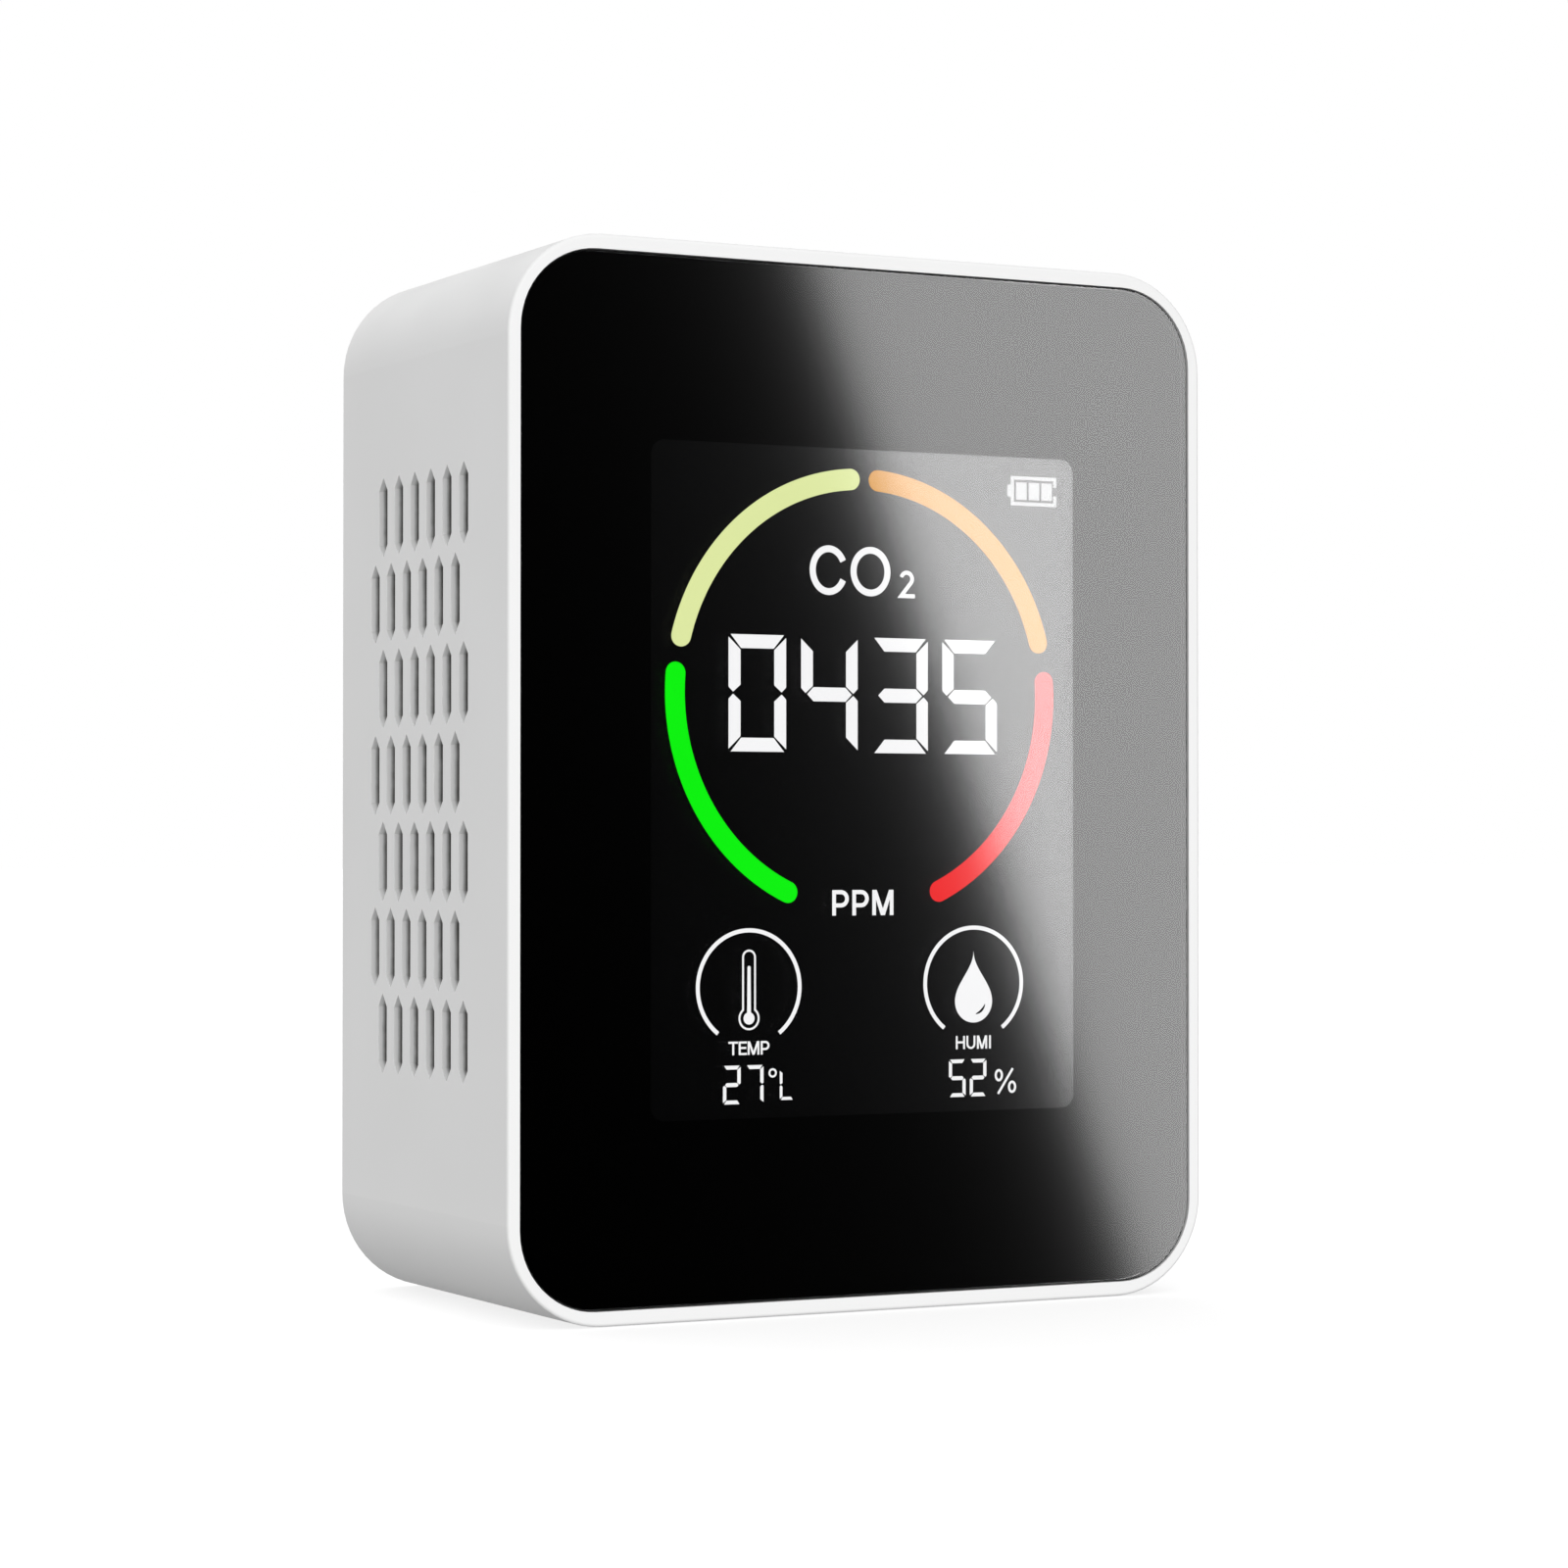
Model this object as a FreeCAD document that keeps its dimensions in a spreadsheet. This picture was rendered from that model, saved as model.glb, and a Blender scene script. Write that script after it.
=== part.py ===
import FreeCAD, Part
import math
import os
from types import SimpleNamespace

import Sketcher

# A desk carbon dioxide monitor: a rounded upright case with a full-face window,
# a segment display behind it, an infrared gas sensor, a battery and a power board.
#
# +X is to the right, +Y is to the rear and +Z is up. The origin is at the middle
# of the case's underside. Depths are measured rearwards from the case's front face,
# and heights are measured from the case's middle.

SIZES = [
    # case
    ("body_width", 65.5), ("body_height", 88.0), ("body_depth", 36.5), ("body_corner", 8.4),
    ("wall", 1.8), ("front_round", 0.3), ("rear_round", 0.8), ("ledge_thickness", 1.3),
    ("sight_width", 44.0), ("sight_height", 60.0), ("sight_corner", 1.5),
    # window
    ("window_width", 63.15), ("window_height", 85.4), ("window_corner", 6.7),
    ("window_thickness", 1.5), ("window_setback", 0.15), ("window_gap", 0.07),
    ("window_bevel", 0.1), ("tape_thickness", 0.15), ("tape_inset", 0.4),
    # side vents
    ("slot_width", 1.87), ("slot_length", 6.8), ("slot_tip", 1.1), ("slot_pitch", 3.5),
    ("row_pitch", 7.33), ("vent_depth", 18.6), ("vent_rise", 0.65),
    # rear cover and the posts it is screwed to
    ("cover_thickness", 2.0), ("cover_rim", 1.0), ("cover_gap", 0.1), ("cover_round", 0.3),
    ("post_across", 27.0), ("post_up", 38.5), ("post_radius", 3.0),
    ("pilot_radius", 0.85), ("pilot_depth", 8.0),
    ("head_radius", 2.1), ("head_height", 1.1), ("head_recess_radius", 2.5),
    ("head_recess_depth", 1.3), ("shank_radius", 1.0), ("shank_length", 6.0),
    ("clearance_radius", 1.2), ("cross_length", 2.2), ("cross_width", 0.5), ("cross_depth", 0.6),
    # display stack
    ("stack_depth", 1.9), ("polarizer_width", 41.5), ("polarizer_height", 57.0),
    ("polarizer_thickness", 0.2), ("glass_width", 43.0), ("glass_height", 58.5),
    ("glass_thickness", 1.1), ("contact_edge", 3.0), ("guide_width", 42.6),
    ("guide_height", 57.6), ("guide_thickness", 3.0), ("reflector_thickness", 0.2),
    ("backlight_led_width", 3.0), ("backlight_led_height", 0.6), ("backlight_led_depth", 1.2),
    ("backlight_led_pitch", 9.0), ("backlight_led_setback", 0.9),
    ("frame_gap", 0.3), ("frame_wall", 1.4), ("frame_end_wall", 0.84), ("frame_front_gap", 0.2),
    ("lcd_pin_width", 0.5), ("lcd_pin_thickness", 0.3), ("lcd_pin_pitch", 2.0),
    # display board
    ("board_width", 58.0), ("board_height", 68.0), ("board_thickness", 1.6), ("board_depth", 8.0),
    ("board_corner", 1.5), ("board_screw_across", 26.3), ("board_screw_up", 31.4),
    ("boss_radius", 2.2), ("boss_pilot_radius", 0.7), ("boss_pilot_depth", 4.0),
    ("small_head_radius", 1.6), ("small_head_height", 0.8), ("small_shank_radius", 0.8),
    ("small_shank_length", 4.6), ("small_clearance_radius", 1.0), ("small_cross_length", 1.8),
    ("small_cross_width", 0.4), ("small_cross_depth", 0.4),
    # parts on the display board
    ("controller_side", 7.0), ("controller_height", 1.2), ("controller_across", 8.0),
    ("controller_up", -27.0), ("lead_pitch", 0.8), ("lead_width", 0.35), ("lead_reach", 1.0),
    ("lead_thickness", 0.2),
    ("capacitor_length", 1.6), ("capacitor_width", 0.8), ("capacitor_pitch", 2.4),
    ("buzzer_radius", 4.5), ("buzzer_height", 3.2), ("buzzer_hole_radius", 0.8),
    ("buzzer_hole_depth", 1.3), ("buzzer_bevel", 0.4), ("buzzer_across", 14.0), ("buzzer_up", 28.5),
    ("climate_side", 3.0), ("climate_height", 1.0), ("climate_port_radius", 0.5),
    ("climate_port_depth", 0.4), ("climate_across", -25.5), ("climate_up", -24.0),
    # gas sensor
    ("sensor_across", -17.5), ("sensor_up", 2.0), ("header_width", 18.0), ("header_height", 2.5),
    ("header_length", 2.5), ("sensor_width", 20.0), ("sensor_height", 33.0),
    ("sensor_board_thickness", 1.2), ("chamber_width", 16.0), ("chamber_height", 24.0),
    ("chamber_depth", 6.5), ("chamber_wall", 0.6), ("chamber_corner", 2.0),
    ("gas_hole_radius", 0.9), ("gas_hole_depth", 0.9), ("gas_hole_pitch", 4.0),
    ("membrane_thickness", 0.3), ("membrane_margin", 1.2), ("lamp_radius", 1.5), ("lamp_length", 4.0),
    ("detector_radius", 2.3), ("detector_length", 3.4), ("detector_rim_radius", 2.6),
    ("detector_rim_thickness", 0.4), ("optics_spacing", 8.0),
    # battery
    ("battery_across", 10.5), ("battery_up", 3.0), ("battery_width", 30.0), ("battery_height", 40.0),
    ("battery_thickness", 7.5), ("battery_round", 1.2), ("battery_tape", 0.4),
    ("battery_tape_width", 18.0), ("battery_tape_height", 32.0),
    ("circuit_width", 14.0), ("circuit_height", 3.0), ("circuit_thickness", 1.0),
    ("plug_width", 6.0), ("plug_height", 5.0), ("plug_thickness", 2.4), ("socket_width", 7.6),
    ("socket_height", 6.0), ("socket_thickness", 3.6), ("plug_across", 19.0), ("plug_up", -28.6),
    ("socket_floor", 1.2), ("plug_end_gap", 0.1), ("lead_radius", 0.6), ("lead_spacing", 2.0),
    ("lead_bend", 1.4), ("lead_drop", 3.0), ("lead_height", 2.0),
    # power board
    ("power_width", 36.0), ("power_height", 72.0), ("power_up", -2.0), ("standoff_height", 6.5),
    ("standoff_radius", 2.0), ("power_screw_across", 15.0), ("power_screw_up", 33.0),
    ("usb_width", 8.94), ("usb_height", 3.26), ("usb_wall", 0.3), ("usb_length", 8.0),
    ("usb_up", -30.5), ("usb_opening_gap", 0.25), ("usb_end_flat", 0.01),
    ("tongue_width", 6.7), ("tongue_height", 0.7), ("tongue_setback", 1.0), ("usb_base", 1.5),
    ("charger_side", 4.0), ("charger_height", 0.9), ("charger_up", -16.0),
    ("inductor_side", 5.0), ("inductor_corner", 1.0), ("inductor_height", 2.6), ("inductor_across", 8.0),
    ("ribbon_width", 8.0), ("ribbon_thickness", 0.3), ("ribbon_across", -8.0), ("ribbon_up", -31.0),
    ("link_width", 10.0), ("link_height", 2.6), ("link_depth", 2.0), ("ribbon_bow", 2.2),
    # power button, its switch and the charge light
    ("button_up", 26.0), ("button_radius", 3.0), ("button_gap", 0.15), ("button_flange_radius", 4.0),
    ("button_flange", 1.0), ("button_flange_gap", 0.1), ("button_sink", 0.2), ("button_dome", 0.25),
    ("button_edge", 0.45), ("dish_radius", 6.0), ("dish_depth", 0.8), ("button_stem_radius", 1.4),
    ("switch_side", 6.0), ("switch_corner", 0.5), ("switch_height", 3.0), ("switch_well_depth", 1.2),
    ("switch_cover_thickness", 0.2), ("plunger_radius", 1.7), ("plunger_gap", 0.1),
    ("plunger_rest", 0.45), ("plunger_proud", 0.8), ("plunger_bevel", 0.26), ("dome_thickness", 0.1),
    ("light_across", 9.5), ("light_radius", 1.0), ("light_gap", 0.05), ("light_flange", 0.6),
    ("light_flange_radius", 1.7), ("light_flange_inset", 0.1), ("led_length", 1.6), ("led_width", 0.8),
    ("led_height", 0.6), ("light_led_gap", 0.2), ("light_sink", 0.1),
]

VENT_COLUMNS = 6
ODD_VENT_ROWS = 4
EVEN_VENT_ROWS = 3
LCD_PINS = 18
BACKLIGHT_LEDS = 4
CONTROLLER_LEADS = 8
DISPLAY_CAPACITORS = 5
POWER_CAPACITORS = 6
GAS_HOLES_EACH_WAY = 3

# shapes of small turned and bent pieces, as shares of their own radius, height or length
SCREW_POINT = 0.5
SCREW_HEAD_SIDE = 0.7
SCREW_HEAD_TOP = 0.85
LENS_SHOULDER = 0.7
RIBBON_BEND = 0.3

SAME_PLANE = 1e-4

doc = FreeCAD.newDocument("carbon_dioxide_monitor")
sheet = doc.addObject("Spreadsheet::Sheet", "sizes")
finished = []


class Length:
    """A length that knows its formula in the sheet and its present value."""

    def __init__(self, formula, amount):
        self.formula = formula
        self.amount = amount

    def __add__(self, other):
        return combine(self, "+", other)

    def __radd__(self, other):
        return combine(other, "+", self)

    def __sub__(self, other):
        return combine(self, "-", other)

    def __rsub__(self, other):
        return combine(other, "-", self)

    def __mul__(self, other):
        return combine(self, "*", other)

    def __rmul__(self, other):
        return combine(other, "*", self)

    def __truediv__(self, other):
        return combine(self, "/", other)

    def __neg__(self):
        return combine(0, "-", self)


def as_length(value):
    """Give a plain number the same form as a length from the sheet."""
    return value if isinstance(value, Length) else Length(repr(value), value)


def combine(left, sign, right):
    """Join two lengths into one formula and one value."""
    left, right = as_length(left), as_length(right)
    formula = "(%s %s %s)" % (left.formula, sign, right.formula)
    if sign == "+":
        return Length(formula, left.amount + right.amount)
    if sign == "-":
        return Length(formula, left.amount - right.amount)
    if sign == "*":
        return Length(formula, left.amount * right.amount)
    return Length(formula, left.amount / right.amount)


def fill_sheet():
    """Write the driving dimensions to the sheet and return them by name."""
    named = {}
    for row, (alias, amount) in enumerate(SIZES, start=1):
        sheet.set("A%d" % row, alias)
        sheet.set("B%d" % row, str(amount))
        sheet.setAlias("B%d" % row, alias)
        named[alias] = Length("sizes." + alias, amount)
    doc.recompute()
    return SimpleNamespace(**named)


size = fill_sheet()


# ---- helpers ---------------------------------------------------------------

def bind(thing, path, value):
    """Tie one property or constraint to a formula of the sheet."""
    thing.setExpression(path, as_length(value).formula)


def finish(thing, label):
    """Name a finished sub-part and list it for writing."""
    thing.Label = label
    finished.append(thing)
    return thing


def stand(thing, across, deep, up):
    """Put a sub-part's own origin at a place in the case."""
    bind(thing, "Placement.Base.x", across)
    bind(thing, "Placement.Base.y", deep - size.body_depth / 2)
    bind(thing, "Placement.Base.z", up + size.body_height / 2)


def new_body(name, across=0, deep=0, up=0):
    """Start a PartDesign body whose own origin stands at a place in the case."""
    body = doc.addObject("PartDesign::Body", name)
    stand(body, across, deep, up)
    return body


def new_sketch(body, role="XZ_Plane", along=0):
    """Start a sketch on one of the body's planes, moved rearwards by a distance."""
    sketch = body.newObject("Sketcher::SketchObject", body.Name + "_sketch")
    plane = [feature for feature in body.Origin.OriginFeatures if feature.Role == role][0]
    sketch.AttachmentSupport = [(plane, "")]
    sketch.MapMode = "FlatFace"
    if role == "XZ_Plane":
        bind(sketch, "AttachmentOffset.Base.z", 0 - as_length(along))
    return sketch


def fix(sketch, kind, *place, value):
    """Add a dimension to a sketch and tie it to its formula."""
    index = sketch.addConstraint(Sketcher.Constraint(kind, *place, as_length(value).amount))
    bind(sketch, "Constraints[%d]" % index, value)


def fix_point(sketch, edge, end, across, up):
    """Hold one point of a sketch at a distance from the sketch's origin."""
    fix(sketch, "DistanceX", -1, 1, edge, end, value=across)
    fix(sketch, "DistanceY", -1, 1, edge, end, value=up)


def draw_circle(sketch, radius, across=0, up=0):
    """Draw a circle by its radius and centre."""
    radius, across, up = as_length(radius), as_length(across), as_length(up)
    centre = FreeCAD.Vector(across.amount, up.amount, 0)
    ring = sketch.addGeometry(Part.Circle(centre, FreeCAD.Vector(0, 0, 1), radius.amount), False)
    fix(sketch, "Radius", ring, value=radius)
    fix_point(sketch, ring, 3, across, up)


def draw_polygon(sketch, points):
    """Draw a closed outline of straight edges."""
    points = [(as_length(across), as_length(up)) for across, up in points]
    corners = [FreeCAD.Vector(across.amount, up.amount, 0) for across, up in points]
    edges = []
    for start, end in zip(corners, corners[1:] + corners[:1]):
        edges.append(sketch.addGeometry(Part.LineSegment(start, end), False))
    for edge, following in zip(edges, edges[1:] + edges[:1]):
        sketch.addConstraint(Sketcher.Constraint("Coincident", edge, 2, following, 1))
    for edge, (across, up) in zip(edges, points):
        fix_point(sketch, edge, 1, across, up)


def draw_rectangle(sketch, wide, tall, across=0, up=0):
    """Draw a square-cornered rectangle about its centre."""
    left, right = across - wide / 2, across + wide / 2
    low, high = up - tall / 2, up + tall / 2
    draw_polygon(sketch, [(left, low), (right, low), (right, high), (left, high)])


def draw_rounded(sketch, wide, tall, corner, across=0, up=0):
    """Draw a rectangle with round corners about its centre."""
    reach_x = wide / 2 - corner
    reach_z = tall / 2 - corner
    centres = [(across - reach_x, up - reach_z), (across + reach_x, up - reach_z),
               (across + reach_x, up + reach_z), (across - reach_x, up + reach_z)]
    arcs = []
    for turn, (x, z) in enumerate(centres):
        centre = FreeCAD.Vector(x.amount, z.amount, 0)
        start = math.pi * (1 + turn / 2)
        circle = Part.Circle(centre, FreeCAD.Vector(0, 0, 1), corner.amount)
        arcs.append(sketch.addGeometry(Part.ArcOfCircle(circle, start, start + math.pi / 2), False))
    for turn, arc in enumerate(arcs):
        following = arcs[(turn + 1) % 4]
        begin = sketch.getPoint(arc, 2)
        end = sketch.getPoint(following, 1)
        line = sketch.addGeometry(Part.LineSegment(begin, end), False)
        sketch.addConstraint(Sketcher.Constraint("Tangent", arc, 2, line, 1))
        sketch.addConstraint(Sketcher.Constraint("Tangent", line, 2, following, 1))
        direction = "Horizontal" if turn % 2 == 0 else "Vertical"
        sketch.addConstraint(Sketcher.Constraint(direction, line))
    for arc in arcs[1:]:
        sketch.addConstraint(Sketcher.Constraint("Equal", arcs[0], arc))
    fix(sketch, "Radius", arcs[0], value=corner)
    fix_point(sketch, arcs[0], 3, *centres[0])
    fix_point(sketch, arcs[2], 3, *centres[2])


def pad(body, sketch, length, rearwards=True):
    """Raise a sketch into the body, towards the rear or towards the front."""
    feature = body.newObject("PartDesign::Pad", body.Name + "_pad")
    feature.Profile = sketch
    feature.Reversed = rearwards
    bind(feature, "Length", length)
    return feature


def pocket(body, sketch, length, rearwards=True):
    """Cut a sketch out of the body, to a depth."""
    feature = body.newObject("PartDesign::Pocket", body.Name + "_pocket")
    feature.Profile = sketch
    feature.Reversed = not rearwards
    bind(feature, "Length", length)
    return feature


def pocket_through(body, sketch):
    """Cut a sketch right through the body, both ways."""
    feature = body.newObject("PartDesign::Pocket", body.Name + "_pocket")
    feature.Profile = sketch
    feature.Type = "ThroughAll"
    feature.Midplane = True
    return feature


def repeat(body, feature, sketch, across, across_count, up=None, up_count=1):
    """Repeat a feature over a grid, by the whole length from first to last."""
    pattern = body.newObject("PartDesign::LinearPattern", body.Name + "_pattern")
    pattern.Originals = [feature]
    pattern.Direction = (sketch, ["H_Axis"])
    bind(pattern, "Length", across)
    pattern.Occurrences = across_count
    if up is not None:
        pattern.Direction2 = (sketch, ["V_Axis"])
        bind(pattern, "Length2", up)
        pattern.Occurrences2 = up_count
    body.Tip = pattern
    return pattern


def edges_across(feature, along):
    """Name the edges of a feature that lie in one plane across the depth."""
    doc.recompute()
    names = []
    for number, edge in enumerate(feature.Shape.Edges, start=1):
        box = edge.BoundBox
        if abs(box.YMin - along.amount) < SAME_PLANE and abs(box.YMax - along.amount) < SAME_PLANE:
            names.append("Edge%d" % number)
    return names


def rounded_edges(body, feature, radius, along):
    """Round the outer edges that lie in one plane across the depth."""
    fillet = body.newObject("PartDesign::Fillet", body.Name + "_fillet")
    fillet.Base = (feature, edges_across(feature, along))
    bind(fillet, "Radius", radius)
    return fillet


def bevelled_edges(body, feature, bevel, along):
    """Bevel the outer edges that lie in one plane across the depth."""
    chamfer = body.newObject("PartDesign::Chamfer", body.Name + "_bevel")
    chamfer.Base = (feature, edges_across(feature, along))
    bind(chamfer, "Size", bevel)
    return chamfer


def plate(label, wide, tall, thickness, across=0, deep=0, up=0, corner=None):
    """Make a flat piece that faces the front, with square or round corners."""
    body = new_body(label, across, deep, up)
    sketch = new_sketch(body)
    if corner is None:
        draw_rectangle(sketch, wide, tall)
    else:
        draw_rounded(sketch, wide, tall, corner)
    pad(body, sketch, thickness)
    return body


def turned(label, profile, across=0, deep=0, up=0):
    """Turn an outline of (radius, distance rearwards) points about the depth axis."""
    body = new_body(label, across, deep, up)
    sketch = new_sketch(body, "XY_Plane")
    draw_polygon(sketch, profile)
    turn = body.newObject("PartDesign::Revolution", label + "_turn")
    turn.Profile = sketch
    turn.ReferenceAxis = (sketch, ["V_Axis"])
    turn.Angle = 360
    return body


def block(name, wide, thick, tall, across, deep, up):
    """Make a plain block about its centre line, starting at a depth."""
    piece = doc.addObject("Part::Box", name)
    bind(piece, "Length", wide)
    bind(piece, "Width", thick)
    bind(piece, "Height", tall)
    stand(piece, across - wide / 2, as_length(deep), up - tall / 2)
    return piece


def group(label, pieces):
    """Keep several separate solids together under one name."""
    together = doc.addObject("Part::Compound", label)
    together.Links = pieces
    return finish(together, label)


# ---- places that several sub-parts share -----------------------------------

window_back = size.window_setback + size.window_thickness
ledge_front = window_back + size.tape_thickness
ledge_back = ledge_front + size.ledge_thickness
cover_inside = size.body_depth - size.cover_thickness

front_glass_front = size.stack_depth + size.polarizer_thickness
rear_glass_front = front_glass_front + size.glass_thickness
rear_polarizer_front = rear_glass_front + size.glass_thickness
guide_front = rear_polarizer_front + size.polarizer_thickness
reflector_front = guide_front + size.guide_thickness
board_back = size.board_depth + size.board_thickness

power_board_back = cover_inside - size.standoff_height
power_board_front = power_board_back - size.board_thickness

switch_top = power_board_back + size.switch_height
plunger_front = switch_top - size.switch_well_depth + size.plunger_rest
plunger_back = switch_top + size.switch_cover_thickness + size.plunger_proud


# ---- case ------------------------------------------------------------------

def cut_vents(body, rows, first_along, first_up):
    """Cut a field of pointed slots through both side walls of the case."""
    sketch = new_sketch(body, "YZ_Plane")
    side = size.slot_width / 2
    shoulder = size.slot_length / 2 - size.slot_tip
    tip = size.slot_length / 2
    outline = [(0, -1 * tip), (side, -1 * shoulder), (side, shoulder),
               (0, tip), (-1 * side, shoulder), (-1 * side, -1 * shoulder)]
    draw_polygon(sketch, [(first_along + x, first_up + z) for x, z in outline])
    slot = pocket_through(body, sketch)
    repeat(body, slot, sketch, size.slot_pitch * (VENT_COLUMNS - 1), VENT_COLUMNS,
           size.row_pitch * 2 * (rows - 1), rows)


def four_circles(sketch, radius, across, up):
    """Draw a circle at each corner of a rectangle about the centre."""
    for side in (-1, 1):
        for end in (-1, 1):
            draw_circle(sketch, radius, across * side, up * end)


def housing():
    """The one-piece shell: front rim, window ledge, four walls, posts and vents."""
    body = new_body("housing")
    outline = new_sketch(body)
    draw_rounded(outline, size.body_width, size.body_height, size.body_corner)
    shell = pad(body, outline, size.body_depth)
    front = rounded_edges(body, shell, size.front_round, as_length(0))
    rounded_edges(body, front, size.rear_round, size.body_depth)

    recess = new_sketch(body)
    draw_rounded(recess, size.window_width + size.window_gap * 2,
                 size.window_height + size.window_gap * 2, size.window_corner + size.window_gap)
    pocket(body, recess, ledge_front)

    cavity = new_sketch(body, along=ledge_back)
    draw_rounded(cavity, size.body_width - size.wall * 2, size.body_height - size.wall * 2,
                 size.body_corner - size.wall)
    pocket(body, cavity, size.body_depth - ledge_back)

    rebate = new_sketch(body, along=cover_inside)
    draw_rounded(rebate, size.body_width - size.cover_rim * 2, size.body_height - size.cover_rim * 2,
                 size.body_corner - size.cover_rim)
    pocket(body, rebate, size.cover_thickness)

    sight = new_sketch(body, along=ledge_front)
    draw_rounded(sight, size.sight_width, size.sight_height, size.sight_corner)
    pocket(body, sight, size.ledge_thickness)

    posts = new_sketch(body, along=ledge_back)
    four_circles(posts, size.post_radius, size.post_across, size.post_up)
    pad(body, posts, cover_inside - ledge_back)
    bosses = new_sketch(body, along=ledge_back)
    four_circles(bosses, size.boss_radius, size.board_screw_across, size.board_screw_up)
    pad(body, bosses, size.board_depth - ledge_back)

    post_pilots = new_sketch(body, along=cover_inside)
    four_circles(post_pilots, size.pilot_radius, size.post_across, size.post_up)
    pocket(body, post_pilots, size.pilot_depth, rearwards=False)
    boss_pilots = new_sketch(body, along=size.board_depth)
    four_circles(boss_pilots, size.boss_pilot_radius, size.board_screw_across, size.board_screw_up)
    pocket(body, boss_pilots, size.boss_pilot_depth, rearwards=False)

    columns_half = size.slot_pitch * (VENT_COLUMNS - 1) / 2
    stagger = size.slot_pitch / 4
    odd_up = size.vent_rise - size.row_pitch * (ODD_VENT_ROWS - 1)
    even_up = size.vent_rise - size.row_pitch * (EVEN_VENT_ROWS - 1)
    cut_vents(body, ODD_VENT_ROWS, size.vent_depth - columns_half - stagger, odd_up)
    cut_vents(body, EVEN_VENT_ROWS, size.vent_depth - columns_half + stagger, even_up)
    finish(body, "housing")


def front_window():
    """The flat clear window that fills the whole front inside the rim."""
    body = plate("front_window", size.window_width, size.window_height, size.window_thickness,
                 deep=size.window_setback, corner=size.window_corner)
    bevelled_edges(body, body.Tip, size.window_bevel, as_length(0))
    finish(body, "front_window")


def window_tape():
    """The die-cut adhesive ring between the window and the ledge."""
    body = plate("window_tape", size.window_width - size.tape_inset * 2,
                 size.window_height - size.tape_inset * 2, size.tape_thickness,
                 deep=window_back, corner=size.window_corner - size.tape_inset)
    opening = new_sketch(body)
    draw_rounded(opening, size.sight_width, size.sight_height, size.sight_corner)
    pocket(body, opening, size.tape_thickness)
    finish(body, "window_tape")


def rear_cover():
    """The flat back plate with its board standoffs, screw seats and openings."""
    body = new_body("rear_cover", deep=cover_inside)
    outline = new_sketch(body)
    inset = size.cover_rim + size.cover_gap
    draw_rounded(outline, size.body_width - inset * 2, size.body_height - inset * 2,
                 size.body_corner - inset)
    panel = pad(body, outline, size.cover_thickness)
    rounded_edges(body, panel, size.cover_round, size.cover_thickness)

    standoffs = new_sketch(body)
    for side in (-1, 1):
        for end in (-1, 1):
            draw_circle(standoffs, size.standoff_radius, size.power_screw_across * side,
                        size.power_up + size.power_screw_up * end)
    pad(body, standoffs, size.standoff_height, rearwards=False)
    pilots = new_sketch(body, along=-1 * size.standoff_height)
    for side in (-1, 1):
        for end in (-1, 1):
            draw_circle(pilots, size.boss_pilot_radius, size.power_screw_across * side,
                        size.power_up + size.power_screw_up * end)
    pocket(body, pilots, size.boss_pilot_depth)

    dish = new_sketch(body, along=size.cover_thickness)
    draw_circle(dish, size.dish_radius, 0, size.button_up)
    pocket(body, dish, size.dish_depth, rearwards=False)
    seats = new_sketch(body, along=size.cover_thickness)
    four_circles(seats, size.head_recess_radius, size.post_across, size.post_up)
    pocket(body, seats, size.head_recess_depth, rearwards=False)

    openings = new_sketch(body)
    four_circles(openings, size.clearance_radius, size.post_across, size.post_up)
    draw_circle(openings, size.button_radius + size.button_gap, 0, size.button_up)
    draw_circle(openings, size.light_radius + size.light_gap, size.light_across, size.usb_up)
    mouth = size.usb_opening_gap * 2
    draw_rounded(openings, size.usb_width + mouth, size.usb_height + mouth,
                 (size.usb_height + mouth) / 2 - size.usb_end_flat, as_length(0), size.usb_up)
    pocket(body, openings, size.cover_thickness)
    finish(body, "rear_cover")


def screws(label, head, shank, cross, spread, seat, middle_up=0, facing=1):
    """Four screws at the corners of a rectangle, with heads to the rear, or front for -1."""
    head_radius, head_height = head
    shank_radius, shank_length = shank
    cross_long, cross_wide, cross_deep = cross
    across, up = spread
    profile = [(0, -1 * shank_length), (shank_radius * SCREW_POINT, -1 * shank_length),
               (shank_radius, shank_radius - shank_length), (shank_radius, 0), (head_radius, 0),
               (head_radius, head_height * SCREW_HEAD_SIDE),
               (head_radius * SCREW_HEAD_TOP, head_height), (0, head_height)]
    faced = [(radius, facing * along) for radius, along in profile]
    body = turned(label, faced, -1 * across, seat, middle_up - up)
    turn = body.Tip
    cuts = []
    for first, second in ((cross_long, cross_wide), (cross_wide, cross_long)):
        sketch = new_sketch(body, along=facing * head_height)
        draw_rectangle(sketch, first, second)
        cuts.append(pocket(body, sketch, cross_deep, rearwards=facing < 0))
    pattern = repeat(body, turn, sketch, across * 2, 2, up * 2, 2)
    pattern.Originals = [turn] + cuts
    finish(body, label)


def cover_screws():
    """The four screws that hold the rear cover to the case's posts."""
    screws("cover_screws", (size.head_radius, size.head_height),
           (size.shank_radius, size.shank_length),
           (size.cross_length, size.cross_width, size.cross_depth),
           (size.post_across, size.post_up), size.body_depth - size.head_recess_depth)


# ---- display ---------------------------------------------------------------

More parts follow.
